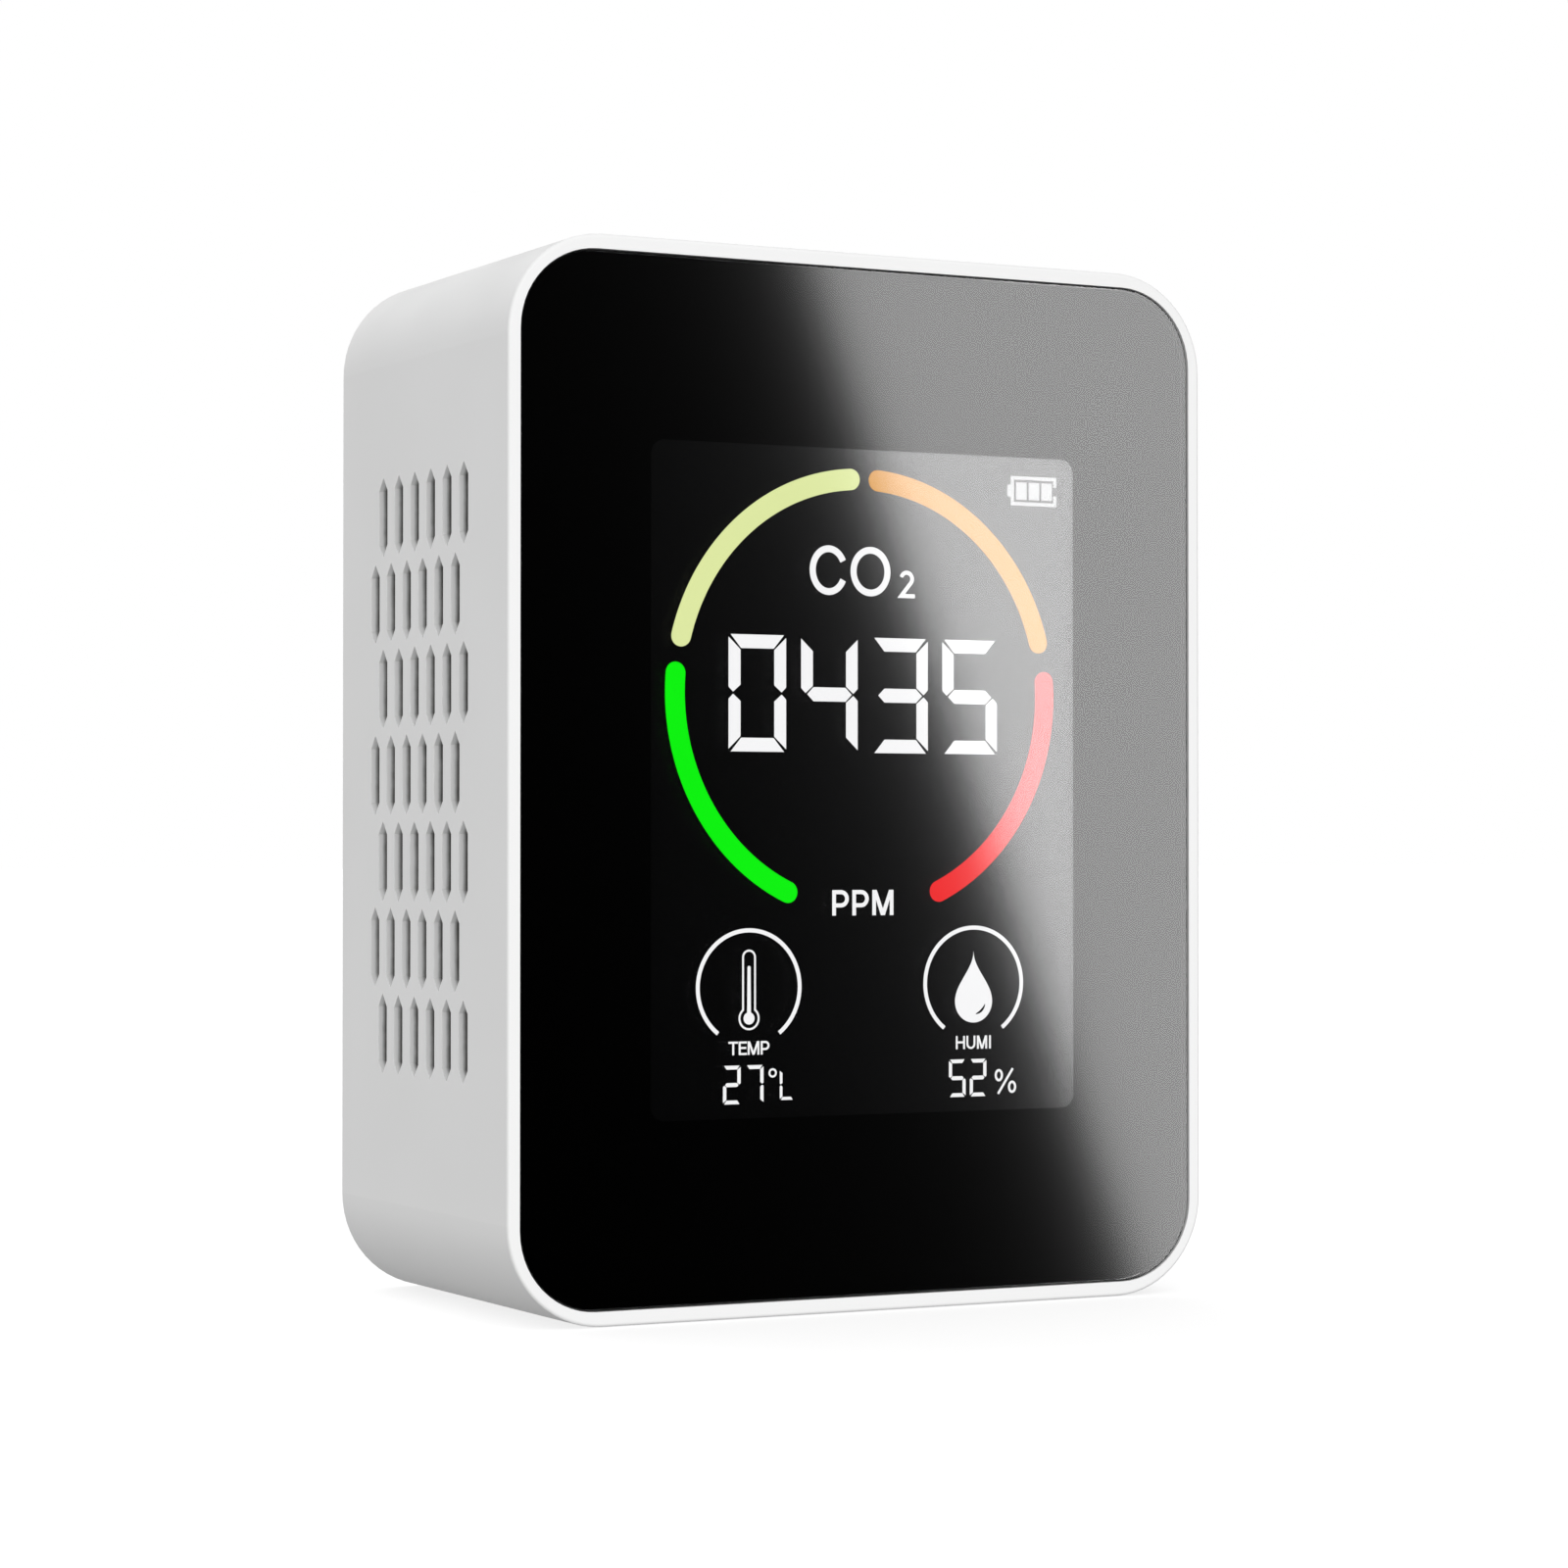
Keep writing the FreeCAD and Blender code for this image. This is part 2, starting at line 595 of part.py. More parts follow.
def display_glass():
    """The liquid crystal cell: two glass sheets with a polarizer on each side."""
    finish(plate("lcd_front_polarizer", size.polarizer_width, size.polarizer_height,
                 size.polarizer_thickness, deep=size.stack_depth), "lcd_front_polarizer")
    finish(plate("lcd_front_glass", size.glass_width, size.glass_height, size.glass_thickness,
                 deep=front_glass_front), "lcd_front_glass")
    finish(plate("lcd_rear_glass", size.glass_width, size.glass_height + size.contact_edge,
                 size.glass_thickness, deep=rear_glass_front, up=-1 * size.contact_edge / 2),
           "lcd_rear_glass")
    finish(plate("lcd_rear_polarizer", size.polarizer_width, size.polarizer_height,
                 size.polarizer_thickness, deep=rear_polarizer_front), "lcd_rear_polarizer")


def backlight():
    """The light guide behind the cell, its white reflector and its edge lights."""
    finish(plate("backlight_guide", size.guide_width, size.guide_height, size.guide_thickness,
                 deep=guide_front), "backlight_guide")
    finish(plate("backlight_reflector", size.guide_width, size.guide_height,
                 size.reflector_thickness, deep=reflector_front), "backlight_reflector")
    lights = []
    for number in range(BACKLIGHT_LEDS):
        across = size.backlight_led_pitch * (number - (BACKLIGHT_LEDS - 1) / 2)
        lights.append(block("backlight_led", size.backlight_led_width, size.backlight_led_depth,
                            size.backlight_led_height, across,
                            guide_front + size.backlight_led_setback,
                            size.guide_height / 2 + size.backlight_led_height / 2))
    group("backlight_leds", lights)


def display_frame():
    """The plastic frame that holds the cell and the light guide on the board."""
    front = ledge_back + size.frame_front_gap
    high = size.glass_height / 2 + size.frame_gap
    low = size.glass_height / 2 + size.contact_edge + size.frame_gap + size.lcd_pin_thickness
    inner_tall = high + low
    middle = (high - low) / 2
    inner_wide = size.glass_width + size.frame_gap * 2
    body = new_body("display_frame", 0, front, middle)
    sketch = new_sketch(body)
    draw_rectangle(sketch, inner_wide + size.frame_wall * 2, inner_tall + size.frame_end_wall * 2)
    draw_rectangle(sketch, inner_wide, inner_tall)
    pad(body, sketch, size.board_depth - front)
    finish(body, "display_frame")


def lcd_pins():
    """The row of contact pins from the rear glass's lower edge to the board."""
    deep = rear_glass_front
    up = -1 * (size.glass_height / 2 + size.contact_edge + size.lcd_pin_thickness / 2)
    pins = []
    for number in range(LCD_PINS):
        across = size.lcd_pin_pitch * (number - (LCD_PINS - 1) / 2)
        pins.append(block("lcd_pin", size.lcd_pin_width, size.board_depth - deep,
                          size.lcd_pin_thickness, across, deep, up))
    group("lcd_pins", pins)


# ---- display board ---------------------------------------------------------

def circuit_board(label, wide, tall, deep, up, screw_across, screw_up):
    """A circuit board with a screw hole near each corner."""
    body = plate(label, wide, tall, size.board_thickness, deep=deep, up=up, corner=size.board_corner)
    holes = new_sketch(body)
    four_circles(holes, size.small_clearance_radius, screw_across, screw_up)
    pocket(body, holes, size.board_thickness)
    finish(body, label)


def small_screws(label, across, up, seat, middle_up=0, facing=1):
    """Four short screws that hold a circuit board."""
    screws(label, (size.small_head_radius, size.small_head_height),
           (size.small_shank_radius, size.small_shank_length),
           (size.small_cross_length, size.small_cross_width, size.small_cross_depth),
           (across, up), seat, middle_up, facing)


def microcontroller():
    """The square controller chip and its leads on four sides."""
    finish(plate("microcontroller", size.controller_side, size.controller_side,
                 size.controller_height, size.controller_across,
                 board_back + size.lead_thickness, size.controller_up), "microcontroller")
    leads = []
    reach = size.controller_side / 2 + size.lead_reach / 2
    for number in range(CONTROLLER_LEADS):
        along = size.lead_pitch * (number - (CONTROLLER_LEADS - 1) / 2)
        for side in (-1, 1):
            leads.append(block("controller_lead", size.lead_reach, size.lead_thickness * 2,
                               size.lead_width, size.controller_across + reach * side,
                               board_back, size.controller_up + along))
            leads.append(block("controller_lead", size.lead_width, size.lead_thickness * 2,
                               size.lead_reach, size.controller_across + along,
                               board_back, size.controller_up + reach * side))
    group("microcontroller_leads", leads)


def capacitors(label, deep, places):
    """A set of small ceramic capacitors that lie on a board."""
    pieces = []
    for across, up in places:
        pieces.append(block("capacitor", size.capacitor_length, size.capacitor_width,
                            size.capacitor_width, across, deep, up))
    group(label, pieces)


def display_capacitors():
    """The capacitors beside the controller."""
    places = []
    for number in range(DISPLAY_CAPACITORS):
        up = size.controller_up + size.capacitor_pitch / 2 * (number - (DISPLAY_CAPACITORS - 1) / 2)
        places.append((size.controller_across - size.controller_side, up))
    capacitors("display_capacitors", board_back, places)


def buzzer():
    """The round alarm buzzer with a sound hole in its top."""
    tall, wide, hole = size.buzzer_height, size.buzzer_radius, size.buzzer_hole_radius
    floor, bevel = tall - size.buzzer_hole_depth, size.buzzer_bevel
    profile = [(0, 0), (wide, 0), (wide, tall - bevel), (wide - bevel, tall), (hole, tall),
               (hole, floor), (0, floor)]
    finish(turned("buzzer", profile, size.buzzer_across, board_back, size.buzzer_up), "buzzer")


def climate_sensor():
    """The temperature and humidity sensor near the left vents, with its air port."""
    body = plate("climate_sensor", size.climate_side, size.climate_side, size.climate_height,
                 size.climate_across, board_back, size.climate_up)
    port = new_sketch(body, along=size.climate_height)
    draw_circle(port, size.climate_port_radius)
    pocket(body, port, size.climate_port_depth, rearwards=False)
    finish(body, "climate_sensor")


# ---- gas sensor ------------------------------------------------------------

sensor_board_front = board_back + size.header_height
chamber_front = sensor_board_front + size.sensor_board_thickness
chamber_back = chamber_front + size.chamber_depth


def sensor_headers():
    """The two header strips that carry the gas sensor above the display board."""
    strips = []
    reach = size.sensor_height / 2 - size.header_length / 2
    for side in (-1, 1):
        strips.append(block("header_strip", size.header_width, size.header_height,
                            size.header_length, size.sensor_across, board_back,
                            size.sensor_up + reach * side))
    group("sensor_headers", strips)


def sensor_chamber():
    """The metal measuring chamber, open towards its board, with gas holes on top."""
    body = plate("sensor_chamber", size.chamber_width, size.chamber_height, size.chamber_depth,
                 size.sensor_across, chamber_front, size.sensor_up, size.chamber_corner)
    hollow = new_sketch(body)
    draw_rounded(hollow, size.chamber_width - size.chamber_wall * 2,
                 size.chamber_height - size.chamber_wall * 2, size.chamber_corner - size.chamber_wall)
    pocket(body, hollow, size.chamber_depth - size.chamber_wall)
    holes = new_sketch(body, along=size.chamber_depth)
    draw_circle(holes, size.gas_hole_radius, -1 * size.gas_hole_pitch, -1 * size.gas_hole_pitch)
    hole = pocket(body, holes, size.gas_hole_depth, rearwards=False)
    reach = size.gas_hole_pitch * (GAS_HOLES_EACH_WAY - 1)
    repeat(body, hole, holes, reach, GAS_HOLES_EACH_WAY, reach, GAS_HOLES_EACH_WAY)
    finish(body, "sensor_chamber")


def sensor_optics():
    """The infrared lamp and the detector that face each other in the chamber."""
    lamp, detector = size.lamp_radius, size.detector_radius
    lens_edge = size.lamp_length - lamp * (1 - LENS_SHOULDER)
    lamp_profile = [(0, 0), (lamp, 0), (lamp, size.lamp_length - lamp),
                    (lamp * LENS_SHOULDER, lens_edge), (0, size.lamp_length)]
    finish(turned("sensor_lamp", lamp_profile, size.sensor_across, chamber_front,
                  size.sensor_up - size.optics_spacing), "sensor_lamp")
    rim, rim_back = size.detector_rim_radius, size.detector_rim_thickness
    can_profile = [(0, 0), (rim, 0), (rim, rim_back), (detector, rim_back),
                   (detector, size.detector_length), (0, size.detector_length)]
    finish(turned("sensor_detector", can_profile, size.sensor_across, chamber_front,
                  size.sensor_up + size.optics_spacing), "sensor_detector")


def gas_sensor():
    """The whole infrared gas sensor on its own small board."""
    sensor_headers()
    finish(plate("sensor_board", size.sensor_width, size.sensor_height, size.sensor_board_thickness,
                 size.sensor_across, sensor_board_front, size.sensor_up), "sensor_board")
    sensor_chamber()
    sensor_optics()
    finish(plate("sensor_membrane", size.chamber_width - size.membrane_margin * 2,
                 size.chamber_height - size.membrane_margin * 2, size.membrane_thickness,
                 size.sensor_across, chamber_back, size.sensor_up), "sensor_membrane")


# ---- battery ---------------------------------------------------------------

battery_front = board_back + size.battery_tape
circuit_up = size.battery_up - size.battery_height / 2 - size.circuit_height / 2
lead_depth = board_back + size.lead_height


def battery_cell():
    """The flat rechargeable cell in its soft foil pouch."""
    body = plate("battery_cell", size.battery_width, size.battery_height, size.battery_thickness,
                 size.battery_across, battery_front, size.battery_up)
    doc.recompute()
    slab = body.Tip
    names = ["Edge%d" % number for number in range(1, len(slab.Shape.Edges) + 1)]
    fillet = body.newObject("PartDesign::Fillet", "battery_cell_fillet")
    fillet.Base = (slab, names)
    bind(fillet, "Radius", size.battery_round)
    finish(body, "battery_cell")


def battery_leads():
    """The two insulated leads from the cell's circuit to its plug."""
    start_up = circuit_up - size.circuit_height / 2
    end_up = size.plug_up + size.plug_height / 2
    tubes = []
    for side in (-1, 1):
        top_x = (size.battery_across + size.lead_spacing / 2 * side).amount
        end_x = (size.plug_across + size.lead_spacing / 2 * side).amount
        top_z = start_up.amount
        bend_z = (start_up - size.lead_drop + size.lead_spacing / 2 * side).amount
        route = [(top_x, top_z), (top_x, bend_z), (end_x, bend_z), (end_x, end_up.amount)]
        tubes.append(round_lead(route, size.lead_bend.amount, size.lead_radius.amount))
    leads = doc.addObject("Part::Feature", "battery_leads")
    leads.Shape = Part.makeCompound(tubes)
    stand(leads, as_length(0), lead_depth, as_length(0))
    finish(leads, "battery_leads")


def round_lead(route, bend, radius):
    """Sweep a round lead along straight runs joined by tangent arcs."""
    points = [FreeCAD.Vector(x, 0, z) for x, z in route]
    edges = []
    last = points[0]
    for before, corner, after in zip(points, points[1:], points[2:]):
        arrive = (corner - before).normalize()
        leave = (after - corner).normalize()
        start = corner - arrive * bend
        end = corner + leave * bend
        centre = corner - arrive * bend + leave * bend
        middle = centre + (corner - centre).normalize() * bend
        edges.append(Part.LineSegment(last, start).toShape())
        edges.append(Part.Arc(start, middle, end).toShape())
        last = end
    edges.append(Part.LineSegment(last, points[-1]).toShape())
    path = Part.Wire(edges)
    ring = Part.Circle(points[0], points[1] - points[0], radius).toShape()
    tube = path.makePipeShell([Part.Wire([ring])], True, False)
    return tube if tube.Volume > 0 else tube.reversed()


def battery():
    """The cell with its tape, protection circuit, leads, plug and socket."""
    finish(plate("battery_tape", size.battery_tape_width, size.battery_tape_height,
                 size.battery_tape, size.battery_across, board_back, size.battery_up),
           "battery_tape")
    battery_cell()
    finish(plate("battery_circuit", size.circuit_width, size.circuit_height,
                 size.circuit_thickness + size.lead_radius * 2, size.battery_across,
                 lead_depth - size.lead_radius - size.circuit_thickness / 2, circuit_up),
           "battery_circuit")
    battery_leads()
    plug_front = lead_depth - size.plug_thickness / 2
    finish(plate("battery_plug", size.plug_width, size.plug_height, size.plug_thickness,
                 size.plug_across, plug_front, size.plug_up), "battery_plug")
    below_plug = size.plug_height / 2 + size.plug_end_gap + size.socket_floor
    body = plate("battery_socket", size.socket_width, size.socket_height, size.socket_thickness,
                 size.plug_across, board_back,
                 size.plug_up - below_plug + size.socket_height / 2)
    mouth = new_sketch(body, along=plug_front - board_back)
    draw_rectangle(mouth, size.plug_width + size.plug_end_gap * 2, size.socket_height,
                   as_length(0), size.socket_floor)
    pocket(body, mouth, size.socket_thickness)
    finish(body, "battery_socket")


# ---- power board -----------------------------------------------------------

def usb_socket():
    """The upright charging socket: a metal shell round a plastic tongue."""
    body = plate("usb_shell", size.usb_width, size.usb_height, size.usb_length, 0,
                 power_board_back, size.usb_up, size.usb_height / 2 - size.usb_end_flat)
    hollow = new_sketch(body, along=size.usb_length)
    draw_rounded(hollow, size.usb_width - size.usb_wall * 2, size.usb_height - size.usb_wall * 2,
                 size.usb_height / 2 - size.usb_wall - size.usb_end_flat)
    pocket(body, hollow, size.usb_length - size.usb_base, rearwards=False)
    finish(body, "usb_shell")
    finish(plate("usb_tongue", size.tongue_width, size.tongue_height,
                 size.usb_length - size.usb_base - size.tongue_setback, 0,
                 power_board_back + size.usb_base, size.usb_up), "usb_tongue")


def power_parts():
    """The charger chip, the inductor and the capacitors on the board's front side."""
    finish(plate("charger_chip", size.charger_side, size.charger_side, size.charger_height, 0,
                 power_board_front - size.charger_height, size.charger_up), "charger_chip")
    body = plate("power_inductor", size.inductor_side, size.inductor_side, size.inductor_height,
                 size.inductor_across, power_board_front - size.inductor_height, size.charger_up,
                 size.inductor_corner)
    finish(body, "power_inductor")
    places = []
    for number in range(POWER_CAPACITORS):
        up = size.charger_up + size.charger_side + size.capacitor_pitch * (number // 2)
        places.append((size.capacitor_pitch * (number % 2 * 2 - 1), up))
    capacitors("power_capacitors", power_board_front - size.capacitor_width, places)


def ribbon_link():
    """The flat ribbon and its two sockets, which join the two boards."""
    start = board_back + size.link_depth
    end = power_board_front - size.link_depth
    finish(plate("display_link_socket", size.link_width, size.link_height, size.link_depth,
                 size.ribbon_across, board_back, size.ribbon_up), "display_link_socket")
    finish(plate("power_link_socket", size.link_width, size.link_height, size.link_depth,
                 size.ribbon_across, end, size.ribbon_up), "power_link_socket")
    body = new_body("link_ribbon", size.ribbon_across, start, size.ribbon_up)
    sketch = new_sketch(body, "YZ_Plane")
    span = end - start
    half = size.ribbon_thickness / 2
    bow = size.ribbon_bow
    first_bend, last_bend = span * RIBBON_BEND, span * (1 - RIBBON_BEND)
    draw_polygon(sketch, [(0, -1 * half), (first_bend, bow - half), (last_bend, bow - half),
                          (span, -1 * half), (span, half), (last_bend, bow + half),
                          (first_bend, bow + half), (0, half)])
    ribbon = body.newObject("PartDesign::Pad", "link_ribbon_pad")
    ribbon.Profile = sketch
    ribbon.Midplane = True
    bind(ribbon, "Length", size.ribbon_width)
    finish(body, "link_ribbon")


# ---- power button ----------------------------------------------------------

def tact_switch():
    """The push switch under the power button: base, cover plate and snap dome."""
    well = size.plunger_radius + size.plunger_gap
    base = plate("switch_base", size.switch_side, size.switch_side, size.switch_height, 0,
                 power_board_back, size.button_up, size.switch_corner)
    hole = new_sketch(base, along=size.switch_height)
    draw_circle(hole, well)
    pocket(base, hole, size.switch_well_depth, rearwards=False)
    finish(base, "switch_base")
    finish(turned("switch_dome",
                  [(0, 0), (size.plunger_radius, 0), (size.plunger_radius, size.dome_thickness),
                   (0, size.dome_thickness)],
                  0, switch_top - size.switch_well_depth, size.button_up), "switch_dome")
    cover = plate("switch_cover", size.switch_side, size.switch_side, size.switch_cover_thickness,
                  0, switch_top, size.button_up, size.switch_corner)
    opening = new_sketch(cover)
    draw_circle(opening, well)
    pocket(cover, opening, size.switch_cover_thickness)
    finish(cover, "switch_cover")


def switch_plunger():
    """The switch's own plunger, which the button's stem rests on."""
    radius = size.plunger_radius
    length = plunger_back - plunger_front
    bevel = size.plunger_bevel
    profile = [(0, 0), (radius, 0), (radius, length - bevel), (radius - bevel, length), (0, length)]
    finish(turned("switch_plunger", profile, 0, plunger_front, size.button_up), "switch_plunger")


def power_button():
    """The round button: a stem, a flange that keeps it in the cover, and a cap."""
    length = size.body_depth - size.button_sink - plunger_back
    flange_back = cover_inside - size.button_flange_gap - plunger_back
    flange_front = flange_back - size.button_flange
    stem, flange, cap = size.button_stem_radius, size.button_flange_radius, size.button_radius
    profile = [(0, 0), (stem, 0), (stem, flange_front), (flange, flange_front),
               (flange, flange_back), (cap, flange_back), (cap, length - size.button_dome),
               (cap - size.button_edge, length), (0, length)]
    finish(turned("power_button", profile, 0, plunger_back, size.button_up), "power_button")


def charge_light():
    """The charge light on the board and the clear pipe that brings it to the back."""
    finish(plate("charge_led", size.led_length, size.led_width, size.led_height,
                 size.light_across, power_board_back, size.usb_up), "charge_led")
    start = power_board_back + size.led_height + size.light_led_gap
    length = size.body_depth - size.light_sink - start
    flange_back = cover_inside - size.light_flange_inset - start
    flange_front = flange_back - size.light_flange
    pipe, flange = size.light_radius, size.light_flange_radius
    profile = [(0, 0), (pipe, 0), (pipe, flange_front), (flange, flange_front),
               (flange, flange_back), (pipe, flange_back), (pipe, length), (0, length)]
    finish(turned("light_pipe", profile, size.light_across, start, size.usb_up), "light_pipe")


# ---- checks and files ------------------------------------------------------

def check_document():
    """Stop if any object failed, or any sub-part has no valid shape."""
    for thing in doc.Objects:
        if "Invalid" in thing.State or "Error" in thing.State:
            raise RuntimeError("%s failed: %s" % (thing.Label, thing.State))
    for thing in finished:
        if thing.Shape.isNull() or not thing.Shape.isValid() or not thing.Shape.Solids:
            raise RuntimeError("%s has no valid solid" % thing.Label)


def write_parts():
    """Write one file for each sub-part."""
    os.makedirs("parts", exist_ok=True)
    for thing in finished:
        thing.Shape.exportStep("parts/%s.step" % thing.Label)
        print("%-24s %10.2f mm3 %3d solids" % (thing.Label, thing.Shape.Volume, len(thing.Shape.Solids)))


def build():
    """Make every sub-part, from the front of the case to the back."""
    housing()
    front_window()
    window_tape()
    display_glass()
    backlight()
    display_frame()
    lcd_pins()
    circuit_board("display_board", size.board_width, size.board_height, size.board_depth,
                  as_length(0), size.board_screw_across, size.board_screw_up)
    small_screws("display_board_screws", size.board_screw_across, size.board_screw_up, board_back)
    microcontroller()
    display_capacitors()
    buzzer()
    climate_sensor()
    gas_sensor()
    battery()
    circuit_board("power_board", size.power_width, size.power_height, power_board_front,
                  size.power_up, size.power_screw_across, size.power_screw_up)
    small_screws("power_board_screws", size.power_screw_across, size.power_screw_up,
                 power_board_front, size.power_up, facing=-1)
    power_parts()
    usb_socket()
    ribbon_link()
    tact_switch()
    switch_plunger()
    power_button()
    charge_light()
    rear_cover()
    cover_screws()


build()
doc.recompute()
check_document()
write_parts()
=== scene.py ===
import math

import bpy
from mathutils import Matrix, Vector

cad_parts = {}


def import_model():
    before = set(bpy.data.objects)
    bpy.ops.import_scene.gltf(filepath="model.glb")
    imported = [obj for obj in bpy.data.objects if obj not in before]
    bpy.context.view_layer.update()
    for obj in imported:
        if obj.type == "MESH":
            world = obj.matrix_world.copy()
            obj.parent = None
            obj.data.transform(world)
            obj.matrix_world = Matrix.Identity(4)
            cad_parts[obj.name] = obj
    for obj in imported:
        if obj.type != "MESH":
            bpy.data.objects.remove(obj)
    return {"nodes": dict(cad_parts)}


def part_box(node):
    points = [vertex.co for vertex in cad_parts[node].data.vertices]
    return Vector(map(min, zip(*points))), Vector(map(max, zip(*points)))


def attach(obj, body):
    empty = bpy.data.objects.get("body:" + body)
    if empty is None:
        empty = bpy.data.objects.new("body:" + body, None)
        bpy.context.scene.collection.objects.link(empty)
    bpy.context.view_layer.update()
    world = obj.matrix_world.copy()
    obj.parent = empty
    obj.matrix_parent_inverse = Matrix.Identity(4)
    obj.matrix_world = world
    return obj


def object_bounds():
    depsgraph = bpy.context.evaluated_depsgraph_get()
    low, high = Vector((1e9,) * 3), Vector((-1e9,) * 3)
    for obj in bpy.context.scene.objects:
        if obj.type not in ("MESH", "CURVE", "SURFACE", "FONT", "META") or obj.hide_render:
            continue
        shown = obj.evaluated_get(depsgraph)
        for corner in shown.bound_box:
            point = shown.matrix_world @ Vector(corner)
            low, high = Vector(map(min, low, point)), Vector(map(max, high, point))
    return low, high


# The looks of the carbon dioxide monitor: materials for every part, the printed mask and the
# lit display behind the window, the marks on the back, and the studio. Shapes are drawn in
# millimetres about the middle of the window, with x to the right and z up.

MM = 0.001

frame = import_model()
cad_low, cad_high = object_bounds()


# ---- places taken from the frame --------------------------------------------

def middle(node):
    """The middle of a part's box."""
    low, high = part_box(node)
    return (low + high) / 2


WINDOW_MIDDLE = middle("front_window")
WINDOW_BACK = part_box("front_window")[1].y
CELL_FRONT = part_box("lcd_front_polarizer")[0].y
CASE_MIDDLE = middle("housing")

# ---- the display's design ---------------------------------------------------

WINDOW_TINT = (0.55, 0.55, 0.555)
WINDOW_IOR = 1.49
WINDOW_CLEARNESS = 0.92
WINDOW_CORNER = 6.7
OPENING_WIDTH = 40.15
OPENING_HEIGHT = 55.5
OPENING_CORNER = 1.2
OPENING_SHIFT = 0.475
INK_THICKNESS = 0.03
INK_MARGIN = 0.05
LIT_THICKNESS = 0.02
CELL_GAP = 0.002

# how far a stroke's sharp corner may reach: the least cosine of half its turn
SHARPEST_MITRE = 0.35

# the display's figures are drawn as they look through the window, which makes them look a
# little smaller and further to the viewer's side than they are
DISPLAY_SPREAD = 1.0046
DISPLAY_SHIFT = 0.24

RING_UP = 7.22
RING_WIDE = 17.48
RING_TALL = 17.93
RING_WIDTH = 1.78
RING_ARCS = {
    "display_ring_red": ((0.85, 0.02, 0.022), -68.7, 7.15),
    "display_ring_orange": ((0.6, 0.26, 0.004), 12.35, 88.5),
    "display_ring_yellow": ((0.72, 0.8, 0.36), 91.3, 168.2),
    "display_ring_green": ((0.003, 0.88, 0.004), 172.3, 248.8),
}
LIT_WHITE = (0.91, 0.91, 0.91)
LIT_DIM_WHITE = (0.46, 0.46, 0.46)
CELL_SHINE = 0.32

# segments that are on in each digit: a top, b c right, d bottom, e f left, g middle
SEGMENTS_ON = {"0": "abcdef", "2": "abdeg", "3": "abcdg", "4": "bcfg", "5": "acdfg",
               "7": "abc", "degrees": "def"}

# digits: width, height, segment thickness and the gap between segments
LARGE_DIGIT = (5.3, 9.61, 1.08, 0.15)
SMALL_DIGIT = (1.61, 3.15, 0.3, 0.08)
DEGREES_SIGN = (1.28, 2.5, 0.24, 0.07)

# how a digit's segments are cut: first in segment thicknesses, then in gaps
SIDE_WIDE, TOP_DEEP, MIDDLE_HALF = 1.04, 1.05, 0.54
POINT_IN, SIDE_FOOT, SIDE_SHOULDER, SIDE_HEAD = 0.38, 0.46, 0.62, 1.16
CORNER_GAP, SIDE_GAP, POINT_GAP, EDGE_GAP = 1.3, 1.5, 0.6, 0.2

# how the plain letters are cut: first in shares of their height, then in strokes
MIDDLE_BAR, BOWL = 0.52, 0.26
SHORT_BAR, M_FOOT, M_PEAK, M_JOIN, M_VALLEY = 0.4, 0.55, 1.2, 0.2, 1.6

# the reading, and the sign of the gas above it: the middle, the reach to each side and the
# stroke of its two round letters, and the bowl, foot and stroke of its small figure
READING = "0435"
READING_LEFT, READING_LOW, READING_PITCH = -12.6, 2.39, 6.7
GAS_UP, GAS_RISE, GAS_STROKE = 17.5, 1.78, 0.56
GAS_C_MIDDLE, GAS_C_REACH, GAS_C_ENDS = -3.32, 1.5, (26, 334)
GAS_O_MIDDLE, GAS_O_REACH = 0.63, 1.61
GAS_FIGURE_BOWL, GAS_FIGURE_ENDS = (4.08, 17.0, 0.52), (165, -35)
GAS_FIGURE_FOOT, GAS_FIGURE_STROKE = [(3.55, 15.56), (4.85, 15.56)], 0.34

# short words under the reading and the gauges: each letter with its left edge and its width
UNIT_LETTERS = (("P", -2.99, 1.55), ("P", -1.1, 1.55), ("M", 0.79, 2.0))
UNIT_LOW, UNIT_TALL, UNIT_STROKE = -11.11, 2.11, 0.34
TEMPERATURE_LETTERS = (("T", -12.6, 0.86), ("E", -11.66, 0.74), ("M", -10.84, 1.06), ("P", -9.64, 0.8))
HUMIDITY_LETTERS = (("H", 8.79, 0.88), ("U", 9.82, 0.86), ("M", 10.84, 0.98), ("I", 12.02, 0.17))
LABEL_LOW, LABEL_TALL, LABEL_STROKE = -22.44, 1.11, 0.17

# the two small gauges: the middle of each open circle, its size and stroke, and the angles of
# its ends
TEMPERATURE_MIDDLE = (-10.72, -16.93)
HUMIDITY_MIDDLE = (10.51, -16.9)
GAUGE_RADIUS = 4.68
GAUGE_LINE = 0.34
GAUGE_ENDS = (-53.6, 232.6)

# the gauges' figures, each with its left edge, and the signs after them
TEMPERATURE_FIGURES = (("2", -13.1), ("7", -11.0))
HUMIDITY_FIGURES = (("5", 8.12), ("2", 10.14))
FIGURES_LOW = -26.44
DEGREES_DOT, DEGREES_LEFT, DEGREES_LOW = (-8.54, -23.97, 0.3), -7.88, -26.22
PERCENT_DOTS, PERCENT_REACH, PERCENT_RISE = ((12.97, -24.72), (14.27, -25.73)), 0.3, 0.42
PERCENT_BAR, PERCENT_LINE = [(12.9, -26.28), (14.34, -24.17)], 0.2

# the thermometer: the radius of its tube and bulb with their heights from the gauge's middle,
# then the same for the filled column inside
TUBE, TUBE_UP, BULB, BULB_UP = 0.55, 2.47, 0.88, -2.53
COLUMN, COLUMN_UP, COLUMN_BULB, COLUMN_LEAN = 0.14, 1.63, 0.5, 20
FINE_LINE = 0.16

